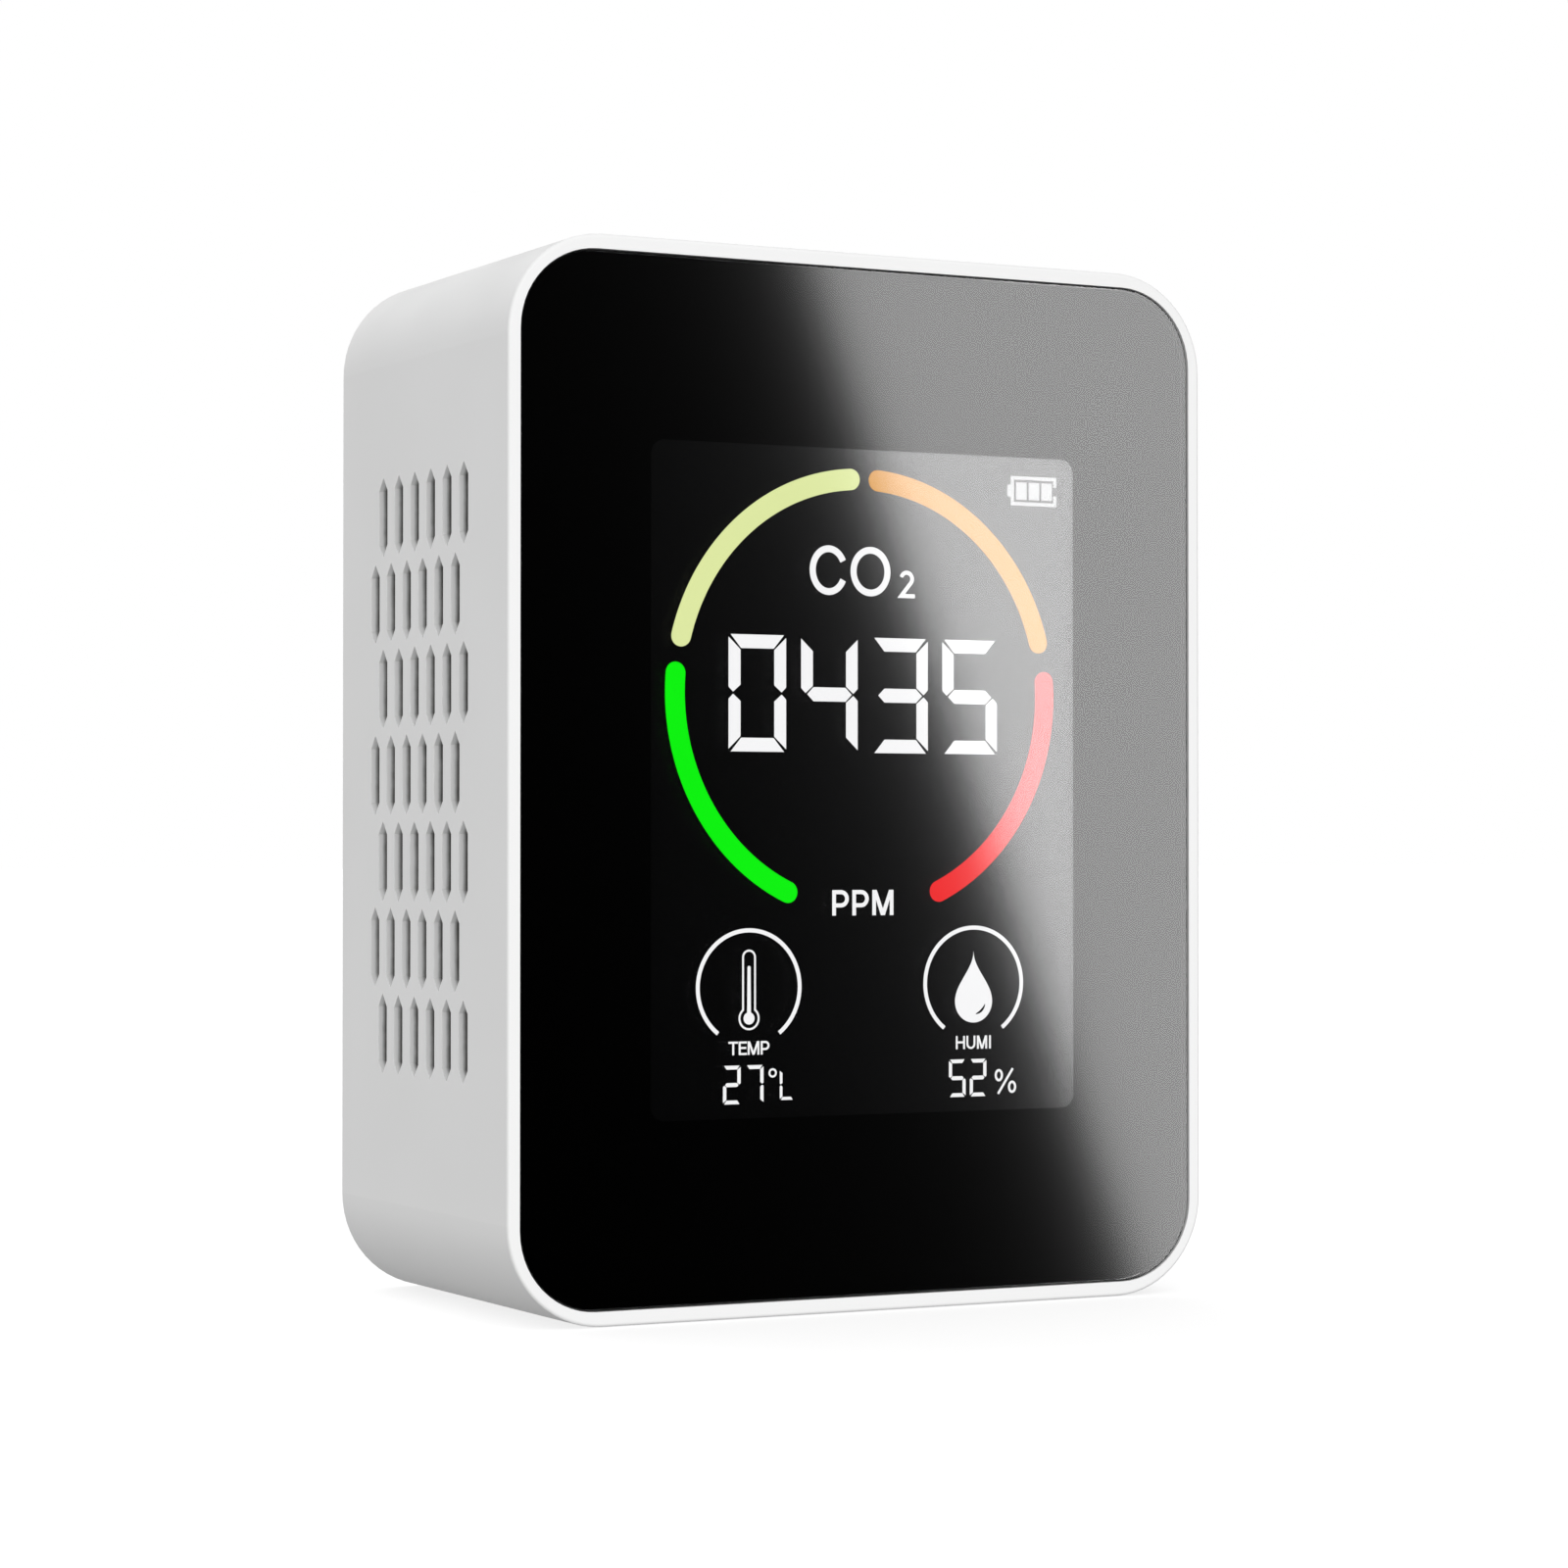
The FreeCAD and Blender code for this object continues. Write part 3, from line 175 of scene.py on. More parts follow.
# the drop, and the dark nick low on it: its bend's middle from the drop's, radius, ends and width
DROP_LOW, DROP_WIDE, DROP_TALL = -20.22, 3.6, 6.0
NICK_SIDE, NICK_UP, NICK_RADIUS, NICK_ENDS = -0.05, 1.9, 1.2, (-78, -18)
NICK_THIN, NICK_SWELL, NICK_THICKNESS = 0.06, 0.15, 0.01

# the battery sign: its outline, the opening in its right side, its terminal and its bars
BATTERY_LEFT, BATTERY_LOW, BATTERY_WIDE, BATTERY_TALL, BATTERY_LINE = 14.2, 23.56, 4.5, 2.5, 0.3
BATTERY_OPEN_ABOVE, BATTERY_OPEN_BELOW = 0.4, 0.33
TERMINAL_WIDE, TERMINAL_HALF = 0.36, 0.5
BARS, BAR_WIDE, BAR_TALL, BAR_PITCH, BAR_INSET = 3, 1.03, 1.46, 1.25, 0.52

# the power sign on the button: its ring, the bar through its opening, its line and its ink
POWER_RADIUS, POWER_ENDS, POWER_BAR, POWER_LINE = 1.0, (125, 415), (0.35, 1.25), 0.22
POWER_THICKNESS, POWER_PROUD = 0.02, 0.015

# painted shade in the vents, darker the deeper into the slots: its colour, the depths where it starts and
# where it is full, how unevenly it lies, and the field's half depth and half height
VENT_PAINTED_SHADE = (0.1, 0.098, 0.093)
VENT_SHADE_START, VENT_SHADE_END = 0.33, 0.72
VENT_SHADE_DRIFT = 0.1
VENT_REACH, VENT_RISE = 15.0, 27.0


# ---- shapes -----------------------------------------------------------------

class Shape:
    """Vertices and faces of one piece, drawn as flat figures with a thickness."""

    def __init__(self, thickness=LIT_THICKNESS):
        self.thickness = thickness
        self.vertices = []
        self.faces = []

    def block(self, outline):
        """Add a filled figure: a closed outline, counter-clockwise as seen from the front."""
        first, count = len(self.vertices), len(outline)
        self.vertices += [(x, 0, z) for x, z in outline]
        self.vertices += [(x, self.thickness, z) for x, z in outline]
        self.faces.append(list(range(first, first + count)))
        self.faces.append(list(range(first + 2 * count - 1, first + count - 1, -1)))
        for i in range(count):
            j = (i + 1) % count
            self.faces.append([first + i, first + count + i, first + count + j, first + j])

    def band(self, path, width, closed=False):
        """Add a stroke along a path, with one width or a width for each point."""
        widths = width if isinstance(width, list) else [width] * len(path)
        first, count = len(self.vertices), len(path)
        for i, (x, z) in enumerate(path):
            side_x, side_z = mitre(path, i, closed)
            reach = widths[i] / 2
            left = (x - side_x * reach, z - side_z * reach)
            right = (x + side_x * reach, z + side_z * reach)
            self.vertices += [(x, 0, z) for x, z in (left, right)]
            self.vertices += [(x, self.thickness, z) for x, z in (right, left)]
        for i in range(count if closed else count - 1):
            here, there = first + 4 * i, first + 4 * ((i + 1) % count)
            for a in range(4):
                b = (a + 1) % 4
                self.faces.append([here + a, here + b, there + b, there + a])
        if not closed:
            last = first + 4 * (count - 1)
            self.faces.append([first + 3, first + 2, first + 1, first])
            self.faces.append([last, last + 1, last + 2, last + 3])

    def spread(self, factor, shift):
        """Widen the figures about the window's middle, and move them to the right."""
        self.vertices = [(x * factor + shift, y, z * factor) for x, y, z in self.vertices]
        return self

    def made(self, name, front, material, slot, body="case", turned=False):
        """Make the piece, standing at a depth, and let it ride on a body."""
        turn = -1 if turned else 1
        mesh = bpy.data.meshes.new(name)
        across, up = WINDOW_MIDDLE.x, WINDOW_MIDDLE.z
        corners = [(across + turn * x * MM, front + turn * y * MM, up + z * MM)
                   for x, y, z in self.vertices]
        mesh.from_pydata(corners, [], self.faces)
        mesh.update()
        piece = bpy.data.objects.new(name, mesh)
        bpy.context.scene.collection.objects.link(piece)
        mesh.materials.append(material)
        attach(piece, body)
        return piece


def mitre(path, i, closed):
    """The sideways direction at a path's point, longer where the path turns."""
    count = len(path)
    before = path[(i - 1) % count] if closed or i > 0 else None
    after = path[(i + 1) % count] if closed or i < count - 1 else None
    here = Vector(path[i])
    runs = []
    if before is not None:
        runs.append((here - Vector(before)).normalized())
    if after is not None:
        runs.append((Vector(after) - here).normalized())
    sides = [Vector((run.y, -run.x)) for run in runs]
    if len(sides) == 1:
        return sides[0]
    both = (sides[0] + sides[1]).normalized()
    return both / max(both.dot(sides[0]), SHARPEST_MITRE)


def arc(x, z, radius, start, end, steps=48, tall=None):
    """Points along a round or oval arc, by angles in degrees."""
    tall = radius if tall is None else tall
    turns = [math.radians(start + (end - start) * i / steps) for i in range(steps + 1)]
    return [(x + radius * math.cos(turn), z + tall * math.sin(turn)) for turn in turns]


def loop(x, z, radius, tall=None, steps=64):
    """Points round a whole circle or oval."""
    return arc(x, z, radius, 0, 360, steps, tall)[:-1]


def rounded(wide, tall, corner, x=0):
    """The outline of a rectangle with round corners."""
    reach_x, reach_z = wide / 2 - corner, tall / 2 - corner
    outline = []
    for side_x, side_z, start in ((1, -1, -90), (1, 1, 0), (-1, 1, 90), (-1, -1, 180)):
        outline += arc(x + side_x * reach_x, side_z * reach_z, corner, start, start + 90, 12)
    return outline


def box_outline(left, low, right, high):
    """The outline of a square-cornered rectangle."""
    return [(left, low), (right, low), (right, high), (left, high)]


def moved(points, x, z):
    """Points moved to the right and up."""
    return [(x + a, z + b) for a, b in points]


# ---- materials --------------------------------------------------------------

# the sockets of a mix node that take and give colours, which share names with its other sockets
FIRST_COLOUR, SECOND_COLOUR, MIXED_COLOUR = 6, 7, 2


class Nodes:
    """A node tree with the few steps that materials and the world share."""

    def __init__(self, tree):
        self.tree = tree

    def node(self, kind, **settings):
        """Add a node and set its properties."""
        made = self.tree.nodes.new(kind)
        for key, value in settings.items():
            setattr(made, key, value)
        return made

    def feed(self, socket, value):
        """Give a socket a number, a colour or another node's output."""
        if isinstance(value, bpy.types.NodeSocket):
            self.tree.links.new(value, socket)
        elif isinstance(value, tuple) and len(value) == 3:
            socket.default_value = (*value, 1.0) if len(socket.default_value) == 4 else value
        else:
            socket.default_value = value

    def combine(self, first, second, operation="ADD"):
        """Add two values, or work on them with another operation."""
        step = self.node("ShaderNodeMath", operation=operation)
        self.feed(step.inputs[0], first)
        self.feed(step.inputs[1], second)
        return step.outputs[0]

    def axes(self, place):
        """The three coordinates of a place or a direction."""
        parts = self.node("ShaderNodeSeparateXYZ")
        self.feed(parts.inputs["Vector"], place)
        return [parts.outputs[axis] for axis in "XYZ"]


class Paint(Nodes):
    """A node-built material with the few patterns that the finishes share."""

    def __init__(self, name):
        self.material = bpy.data.materials.new(name)
        self.material.use_nodes = True
        super().__init__(self.material.node_tree)
        self.shader = self.tree.nodes["Principled BSDF"]
        self.place = self.node("ShaderNodeTexCoord").outputs["Object"]

    def set(self, **inputs):
        """Feed the shader's inputs, named with underscores for spaces."""
        for name, value in inputs.items():
            self.feed(self.shader.inputs[name.replace("_", " ")], value)
        return self

    def noise(self, size_mm, detail=3.0, stretch=(1, 1, 1)):
        """Cloudy noise between 0 and 1, with patches of a size in millimetres."""
        mapping = self.node("ShaderNodeMapping")
        self.feed(mapping.inputs["Vector"], self.place)
        self.feed(mapping.inputs["Scale"], tuple(float(axis) for axis in stretch))
        cloud = self.node("ShaderNodeTexNoise")
        self.feed(cloud.inputs["Vector"], mapping.outputs["Vector"])
        cloud.inputs["Scale"].default_value = 1 / (size_mm * MM)
        cloud.inputs["Detail"].default_value = detail
        return cloud.outputs["Fac"]

    def cell_edges(self, size_mm):
        """The distance from the edges of cells of a size in millimetres."""
        pattern = self.node("ShaderNodeTexVoronoi", feature="DISTANCE_TO_EDGE")
        self.feed(pattern.inputs["Vector"], self.place)
        pattern.inputs["Scale"].default_value = 1 / (size_mm * MM)
        return pattern.outputs["Distance"]

    def spread(self, value, low, high, start=0.0, end=1.0):
        """Map a value from start..end to low..high."""
        step = self.node("ShaderNodeMapRange")
        self.feed(step.inputs["Value"], value)
        limits = {"From Min": start, "From Max": end, "To Min": low, "To Max": high}
        for key, number in limits.items():
            step.inputs[key].default_value = number
        return step.outputs["Result"]

    def between(self, value, first, second):
        """Blend two colours by a value."""
        mix = self.node("ShaderNodeMix", data_type="RGBA")
        self.feed(mix.inputs["Factor"], value)
        self.feed(mix.inputs[FIRST_COLOUR], first)
        self.feed(mix.inputs[SECOND_COLOUR], second)
        return mix.outputs[MIXED_COLOUR]

    def bump(self, height, depth_mm):
        """Raise the surface by a height from 0 to 1 times a depth in millimetres."""
        relief = self.node("ShaderNodeBump")
        relief.inputs["Strength"].default_value = 1.0
        relief.inputs["Distance"].default_value = depth_mm * MM
        self.feed(relief.inputs["Height"], height)
        self.feed(self.shader.inputs["Normal"], relief.outputs["Normal"])
        return self


def toned(colour, factor):
    """A colour made lighter or darker."""
    return tuple(min(1.0, channel * factor) for channel in colour)


def moulded(name, colour, roughness=0.42, grain_mm=0.16, depth_mm=0.006, drift=0.03):
    """Moulded plastic: fine spark-eroded grain, slow shade drift and faint handling polish."""
    paint = Paint(name)
    shade = paint.between(paint.noise(14, 2), toned(colour, 1 - drift), toned(colour, 1 + drift / 2))
    handled = paint.spread(paint.noise(5, 4), roughness - 0.07, roughness + 0.07, 0.3, 0.7)
    fine = paint.spread(paint.noise(grain_mm * 2, 2), -0.03, 0.03)
    paint.set(Base_Color=shade, Roughness=paint.combine(handled, fine))
    return paint.bump(paint.noise(grain_mm, 3), depth_mm).material


def vent_painted_shade(paint):
    """How much painted shade a place gets: only inside the vent slots, and more the deeper it lies."""
    across, along, up = paint.axes(paint.place)
    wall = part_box("housing")[1].x
    drift = VENT_SHADE_DRIFT * MM
    depth = paint.combine(wall, paint.combine(across, 0.0, "ABSOLUTE"), "SUBTRACT")
    depth = paint.combine(depth, paint.spread(paint.noise(1.5), -drift, drift))
    # painted shade: the plastic is darkened more the deeper it lies inside a slot
    painted_shade = paint.spread(depth, 0.0, 1.0, VENT_SHADE_START * MM, VENT_SHADE_END * MM)
    beside = paint.combine(along, 0.0, "ABSOLUTE")
    above = paint.combine(paint.combine(up, CASE_MIDDLE.z, "SUBTRACT"), 0.0, "ABSOLUTE")
    in_reach = paint.combine(beside, VENT_REACH * MM, "LESS_THAN")
    in_rise = paint.combine(above, VENT_RISE * MM, "LESS_THAN")
    return paint.combine(painted_shade, paint.combine(in_reach, in_rise, "MULTIPLY"), "MULTIPLY")


def white_plastic():
    """The case's white plastic, matt with a fine grain, with painted shade inside the vents."""
    paint = Paint("case_white")
    warm, cool = (0.845, 0.845, 0.84), (0.868, 0.87, 0.872)
    shade = paint.between(paint.noise(22, 2), warm, cool)
    # painted shade: the white plastic darkens towards the depth of the vent slots
    shade = paint.between(vent_painted_shade(paint), shade, VENT_PAINTED_SHADE)
    handled = paint.spread(paint.noise(9, 5), 0.38, 0.52, 0.35, 0.65)
    fine = paint.spread(paint.noise(0.4), -0.03, 0.03)
    paint.set(Base_Color=shade, Roughness=paint.combine(handled, fine))
    return paint.bump(paint.noise(0.22, 4), 0.004).material


def smoked_window():
    """Smoke-tinted clear window, polished, with the faintest haze from wiping."""
    paint = Paint("smoked_window")
    tint = paint.between(paint.noise(30, 1), toned(WINDOW_TINT, 0.99), toned(WINDOW_TINT, 1.01))
    haze = paint.spread(paint.noise(16, 4, (1, 1, 2)), 0.0, 0.004, 0.4, 0.7)
    paint.set(Base_Color=tint, Transmission_Weight=1.0, Roughness=haze, IOR=WINDOW_IOR)
    return paint.material


def black_ink():
    """The black ink printed on the window's back."""
    paint = Paint("black_ink")
    darker, lighter = (0.001, 0.001, 0.001), (0.002, 0.002, 0.002)
    paint.set(Base_Color=paint.between(paint.noise(0.5), darker, lighter))
    paint.set(Roughness=paint.spread(paint.noise(0.2), 0.55, 0.65), Specular_IOR_Level=0.0)
    return paint.material


def polarizer_film():
    """The dark film on the display cell, which lets a little of the backlight through."""
    paint = Paint("polarizer_film")
    leak = paint.spread(paint.noise(12, 2), 0.0008, 0.0018)
    paint.set(Base_Color=(0.006, 0.006, 0.007), Roughness=paint.spread(paint.noise(6), 0.01, 0.03))
    paint.set(Specular_IOR_Level=CELL_SHINE)
    paint.set(Emission_Color=(0.9, 0.95, 1.0), Emission_Strength=leak)
    paint.material.cycles.emission_sampling = "NONE"
    return paint.material


def lit(name, colour):
    """A lit display segment, whose colour is given as it looks through the tinted window."""
    paint = Paint(name)
    through = WINDOW_TINT[0] * WINDOW_CLEARNESS
    evenness = paint.spread(paint.noise(7, 2), 0.97 / through, 1.03 / through)
    paint.set(Base_Color=(0.0, 0.0, 0.0), Roughness=paint.spread(paint.noise(6), 0.01, 0.03))
    paint.set(Specular_IOR_Level=CELL_SHINE, Emission_Color=colour, Emission_Strength=evenness)
    paint.material.cycles.emission_sampling = "NONE"
    return paint.material


def metal(name, colour, roughness, grain_mm, stretch=(1, 1, 1)):
    """Plated or brushed metal with slight tarnish."""
    paint = Paint(name)
    shade = paint.between(paint.noise(2.5, 4), toned(colour, 0.86), toned(colour, 1.04))
    gloss = paint.spread(paint.noise(grain_mm, 4, stretch), roughness - 0.08, roughness + 0.12)
    paint.set(Base_Color=shade, Metallic=1.0, Roughness=gloss)
    return paint.bump(paint.noise(grain_mm, 4, stretch), 0.004).material


def clear(name, colour, roughness, milkiness=0.0):
    """Clear or slightly milky plastic or glass, such as the light guide."""
    paint = Paint(name)
    shade = paint.between(paint.noise(8), toned(colour, 0.98), colour)
    paint.set(Base_Color=shade, Transmission_Weight=1 - milkiness, IOR=1.49)
    paint.set(Roughness=paint.spread(paint.noise(3), roughness * 0.6, roughness * 1.4))
    return paint.material


def circuit_board():
    """Green solder mask over faint copper tracks."""
    paint = Paint("circuit_board")
    tracks = paint.spread(paint.cell_edges(2.2), 1.0, 0.0, 0.04, 0.09)
    shade = paint.between(tracks, (0.006, 0.085, 0.03), (0.012, 0.15, 0.05))
    paint.set(Base_Color=shade, Roughness=paint.spread(paint.noise(1.5), 0.25, 0.4), Coat_Weight=0.3)
    return paint.bump(tracks, 0.02).material


def battery_foil():
    """The crinkled aluminium pouch of the cell."""
    paint = Paint("battery_foil")
    folds = paint.noise(2.5, 5, (1, 1, 0.5))
    paint.set(Base_Color=paint.between(folds, (0.55, 0.56, 0.58), (0.72, 0.73, 0.74)))
    paint.set(Metallic=0.9, Roughness=paint.spread(folds, 0.28, 0.5))
    return paint.bump(folds, 0.12).material


def lead_insulation():
    """The glossy red plastic of the battery leads."""
    return moulded("lead_insulation", (0.5, 0.015, 0.012), 0.3, 0.5, 0.004)


def ribbon_film():
    """The flat ribbon's pale film over its parallel conductors."""
    paint = Paint("ribbon_film")
    stripes = paint.node("ShaderNodeTexWave", wave_type="BANDS", bands_direction="X")
    paint.feed(stripes.inputs["Vector"], paint.place)
    stripes.inputs["Scale"].default_value = 1 / (3.2 * MM)
    shade = paint.between(stripes.outputs["Fac"], (0.55, 0.5, 0.4), (0.75, 0.74, 0.7))
    paint.set(Base_Color=shade, Roughness=paint.spread(paint.noise(1), 0.3, 0.42))
    return paint.bump(stripes.outputs["Fac"], 0.03).material


def slot_materials():
    """A finish for each of the record's material slots."""
    return {
        "white_plastic": white_plastic(),
        "smoked_window": smoked_window(),
        "black_tape": moulded("black_tape", (0.012, 0.012, 0.012), 0.75, 0.3, 0.02),
        "polarizer_film": polarizer_film(),
        "display_glass": clear("display_glass", (0.9, 0.95, 0.93), 0.02),
        "clear_plastic": clear("clear_plastic", (0.93, 0.94, 0.95), 0.08, 0.45),
        "white_film": moulded("white_film", (0.84, 0.85, 0.86), 0.5, 0.5, 0.003),
        "led_package": moulded("led_package", (0.8, 0.76, 0.5), 0.35, 0.2, 0.004),
        "black_plastic": moulded("black_plastic", (0.014, 0.014, 0.015), 0.5, 0.2, 0.01),
        "tinned_metal": metal("tinned_metal", (0.74, 0.74, 0.72), 0.35, 0.2),
        "circuit_board": circuit_board(),
        "screw_steel": metal("screw_steel", (0.6, 0.6, 0.59), 0.28, 0.15, (1, 3, 1)),
        "chip_plastic": moulded("chip_plastic", (0.02, 0.02, 0.022), 0.6, 0.08, 0.006),
        "ceramic": moulded("ceramic", (0.33, 0.2, 0.11), 0.55, 0.1, 0.005, 0.08),
        "gold_plate": metal("gold_plate", (0.85, 0.62, 0.26), 0.3, 0.8, (4, 1, 1)),
        "filter_membrane": moulded("filter_membrane", (0.82, 0.82, 0.8), 0.85, 0.12, 0.03),
        "lamp_glass": clear("lamp_glass", (0.95, 0.95, 0.95), 0.03),
        "battery_foil": battery_foil(),
        "lead_insulation": lead_insulation(),
        "white_connector": moulded("white_connector", (0.78, 0.76, 0.7), 0.45, 0.25, 0.005),
        "ferrite": moulded("ferrite", (0.03, 0.03, 0.032), 0.65, 0.15, 0.015, 0.1),
        "ribbon_film": ribbon_film(),
    }


def dress_parts():
    """Give every CAD part the finish of its material slot."""
    finishes = slot_materials()
    for node in frame["nodes"].values():
        for slot in node.material_slots:
            name = slot.material.name.split(".")[0]
            slot.material = finishes[name]


# ---- the window's mask and the display --------------------------------------

def window_mask():
    """The black ink behind the window, with the display's opening."""
    low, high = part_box("front_window")
    wide, tall = (high.x - low.x) / MM - 2 * INK_MARGIN, (high.z - low.z) / MM - 2 * INK_MARGIN
    outer = rounded(wide, tall, WINDOW_CORNER - INK_MARGIN)
    inner = rounded(OPENING_WIDTH, OPENING_HEIGHT, OPENING_CORNER, OPENING_SHIFT)
    ink = Shape(INK_THICKNESS)
    count = len(outer)
    for y in (0, INK_THICKNESS):
        ink.vertices += [(x, y, z) for x, z in outer]
        ink.vertices += [(x, y, z) for x, z in inner]
    for i in range(count):
        j = (i + 1) % count
        ink.faces.append([i, j, count + j, count + i])
        ink.faces.append([2 * count + j, 2 * count + i, 3 * count + i, 3 * count + j])
        ink.faces.append([j, i, 2 * count + i, 2 * count + j])
        ink.faces.append([count + i, count + j, 3 * count + j, 3 * count + i])
    front = WINDOW_BACK - (INK_THICKNESS + CELL_GAP) * MM
    ink.made("window_ink", front, black_ink(), "black_tape")


def lit_piece(shape, name, material):
    """A lit figure that lies on the display cell, behind the window."""
    front = CELL_FRONT - (LIT_THICKNESS + CELL_GAP) * MM
    shape.spread(DISPLAY_SPREAD, DISPLAY_SHIFT).made(name, front, material, "led_package")


def round_ended_arc(shape, start, end):
    """A piece of the ring whose ends are half circles, inside its two angles."""
    cap = math.degrees(RING_WIDTH / (RING_WIDE + RING_TALL))
    leans = [math.radians(85 * i / 9) for i in range(1, 10)]
    ends = [(cap * (1 - math.sin(lean)), RING_WIDTH * math.cos(lean)) for lean in leans]
    steps = 60
    points = [(start + inset, width) for inset, width in reversed(ends)]
    points += [(start + cap + (end - start - 2 * cap) * i / steps, RING_WIDTH) for i in range(steps + 1)]
    points += [(end - inset, width) for inset, width in ends]
    turns = [math.radians(angle) for angle, width in points]
    path = [(RING_WIDE * math.cos(turn), RING_UP + RING_TALL * math.sin(turn)) for turn in turns]
    shape.band(path, [width for angle, width in points])


def colour_ring():
    """The four-colour ring round the reading."""
    for name, (colour, start, end) in RING_ARCS.items():
        ring = Shape()
        round_ended_arc(ring, start, end)
        lit_piece(ring, name, lit(name + "_light", colour))


def flipped_x(points, wide):
    """A figure mirrored left to right inside its width."""
    return [(wide - x, z) for x, z in reversed(points)]


def flipped_z(points, tall):
    """A figure mirrored top to bottom inside its height."""
    return [(x, tall - z) for x, z in reversed(points)]


def digit(shape, figure, left, low, style):
    """A seven-segment digit with mitred segments."""
    wide, tall, thick, gap = style
    half = tall / 2
    point = thick * POINT_IN
    corner = gap * CORNER_GAP
    inner = thick * SIDE_WIDE - gap * EDGE_GAP
    cut = thick * SIDE_WIDE + gap * EDGE_GAP
    top_low = tall - thick * TOP_DEEP
    bar_low, bar_high = half - thick * MIDDLE_HALF, half + thick * MIDDLE_HALF
    top = [(corner, tall), (cut, top_low), (wide - cut, top_low), (wide - corner, tall)]
    side = [(0, tall - gap * SIDE_GAP), (0, half + thick * SIDE_FOOT), (point, half + gap * POINT_GAP),
            (inner, half + thick * SIDE_SHOULDER), (inner, tall - thick * SIDE_HEAD)]
    centre = [(gap + point, half), (cut, bar_low), (wide - cut, bar_low),
              (wide - gap - point, half), (wide - cut, bar_high), (cut, bar_high)]
    low_side = flipped_z(side, tall)
    segments = {"a": top, "d": flipped_z(top, tall), "g": centre, "f": side,
                "b": flipped_x(side, wide), "e": low_side, "c": flipped_x(low_side, wide)}
    for name in SEGMENTS_ON[figure]:
        shape.block(moved(segments[name], left, low))


def reading(white):
    """The four large digits of the carbon dioxide reading."""
    digits = Shape()
    for place, figure in enumerate(READING):
        digit(digits, figure, READING_LEFT + READING_PITCH * place, READING_LOW, LARGE_DIGIT)
    lit_piece(digits, "display_reading", white)


def letter_m(left, low, wide, tall, stroke):
    """The outline of a plain letter M, drawn inside its box."""
    right, high, centre = left + wide, low + tall, left + wide / 2
    foot, peak, join = stroke * M_FOOT, stroke * M_PEAK, stroke * M_JOIN
    notch = low + tall * (1 - (stroke - join) / (wide / 2 - foot - join))
    return [(left, low), (left + stroke, low), (left + stroke, notch), (centre - foot, low),
            (centre + foot, low), (right - stroke, notch), (right - stroke, low), (right, low),
            (right, high), (right - peak, high), (centre, low + stroke * M_VALLEY),
            (left + peak, high), (left, high)]


def letter(shape, name, left, low, wide, tall, stroke):
    """A plain stroke letter, drawn inside its box."""
    right, high, half = left + wide, low + tall, stroke / 2
    l, r, b, t = left + half, right - half, low + half, high - half
    centre = (left + right) / 2
    bar_up = low + tall * MIDDLE_BAR
    if name == "T":
        shape.band([(left, t), (right, t)], stroke)
        shape.band([(centre, high - stroke), (centre, low)], stroke)
    elif name == "E":
        shape.band([(right, t), (l, t), (l, b), (right, b)], stroke)
        shape.band([(left + stroke, bar_up), (right - stroke * SHORT_BAR, bar_up)], stroke)
    elif name == "M":
        shape.block(letter_m(left, low, wide, tall, stroke))
    elif name == "P":
        bowl = tall * BOWL
        curve = arc(r - bowl, t - bowl, bowl, 90, -90, 12)
        shape.band([(l, low), (l, t)] + curve + [(left + stroke, t - 2 * bowl)], stroke)
    elif name == "H":
        shape.band([(l, low), (l, high)], stroke)
        shape.band([(r, low), (r, high)], stroke)
        shape.band([(left + stroke, bar_up), (right - stroke, bar_up)], stroke)
    elif name == "U":
        bowl = (r - l) / 2
        curve = arc(centre, b + bowl, bowl, 180, 360, 12)
        shape.band([(l, high)] + curve + [(r, high)], stroke)
    elif name == "I":
        shape.band([(l, low), (l, high)], stroke)


def word(shape, letters, low, tall, stroke):
    """A short word, from each letter with its left edge and width."""
    for name, left, wide in letters:
        letter(shape, name, left, low, wide, tall, stroke)


def gas_label(white):
    """The sign of the gas above the reading, with its small figure."""
    label = Shape()
    label.band(arc(GAS_C_MIDDLE, GAS_UP, GAS_C_REACH, *GAS_C_ENDS, 40, GAS_RISE), GAS_STROKE)
    label.band(loop(GAS_O_MIDDLE, GAS_UP, GAS_O_REACH, GAS_RISE), GAS_STROKE, closed=True)
    bowl = arc(*GAS_FIGURE_BOWL, *GAS_FIGURE_ENDS, 14)
    label.band(bowl + GAS_FIGURE_FOOT, GAS_FIGURE_STROKE)
    lit_piece(label, "display_gas_label", white)


def unit_label(white):
    """The unit under the reading."""
    label = Shape()
    word(label, UNIT_LETTERS, UNIT_LOW, UNIT_TALL, UNIT_STROKE)
    lit_piece(label, "display_unit_label", white)


def gauge(middle, letters, figures):
    """What both small gauges have: the open circle, the short name and the two figures."""
    shape = Shape()
    shape.band(arc(*middle, GAUGE_RADIUS, *GAUGE_ENDS, 64), GAUGE_LINE)
    word(shape, letters, LABEL_LOW, LABEL_TALL, LABEL_STROKE)
    for figure, left in figures:
        digit(shape, figure, left, FIGURES_LOW, SMALL_DIGIT)
    return shape


def thermometer_picture(shape, x, z):
    """A thermometer: an outlined tube and bulb with the filled column inside."""
    lean = math.degrees(math.asin(TUBE / BULB))
    outline = arc(x, z + BULB_UP, BULB, 90 + lean, 450 - lean, 40)
    outline += arc(x, z + TUBE_UP, TUBE, 0, 180, 16)
    shape.band(outline, FINE_LINE, closed=True)
    column = arc(x, z + BULB_UP, COLUMN_BULB, 90 + COLUMN_LEAN, 450 - COLUMN_LEAN, 28)
    column += arc(x, z + COLUMN_UP, COLUMN, 0, 180, 10)
    shape.block(column)


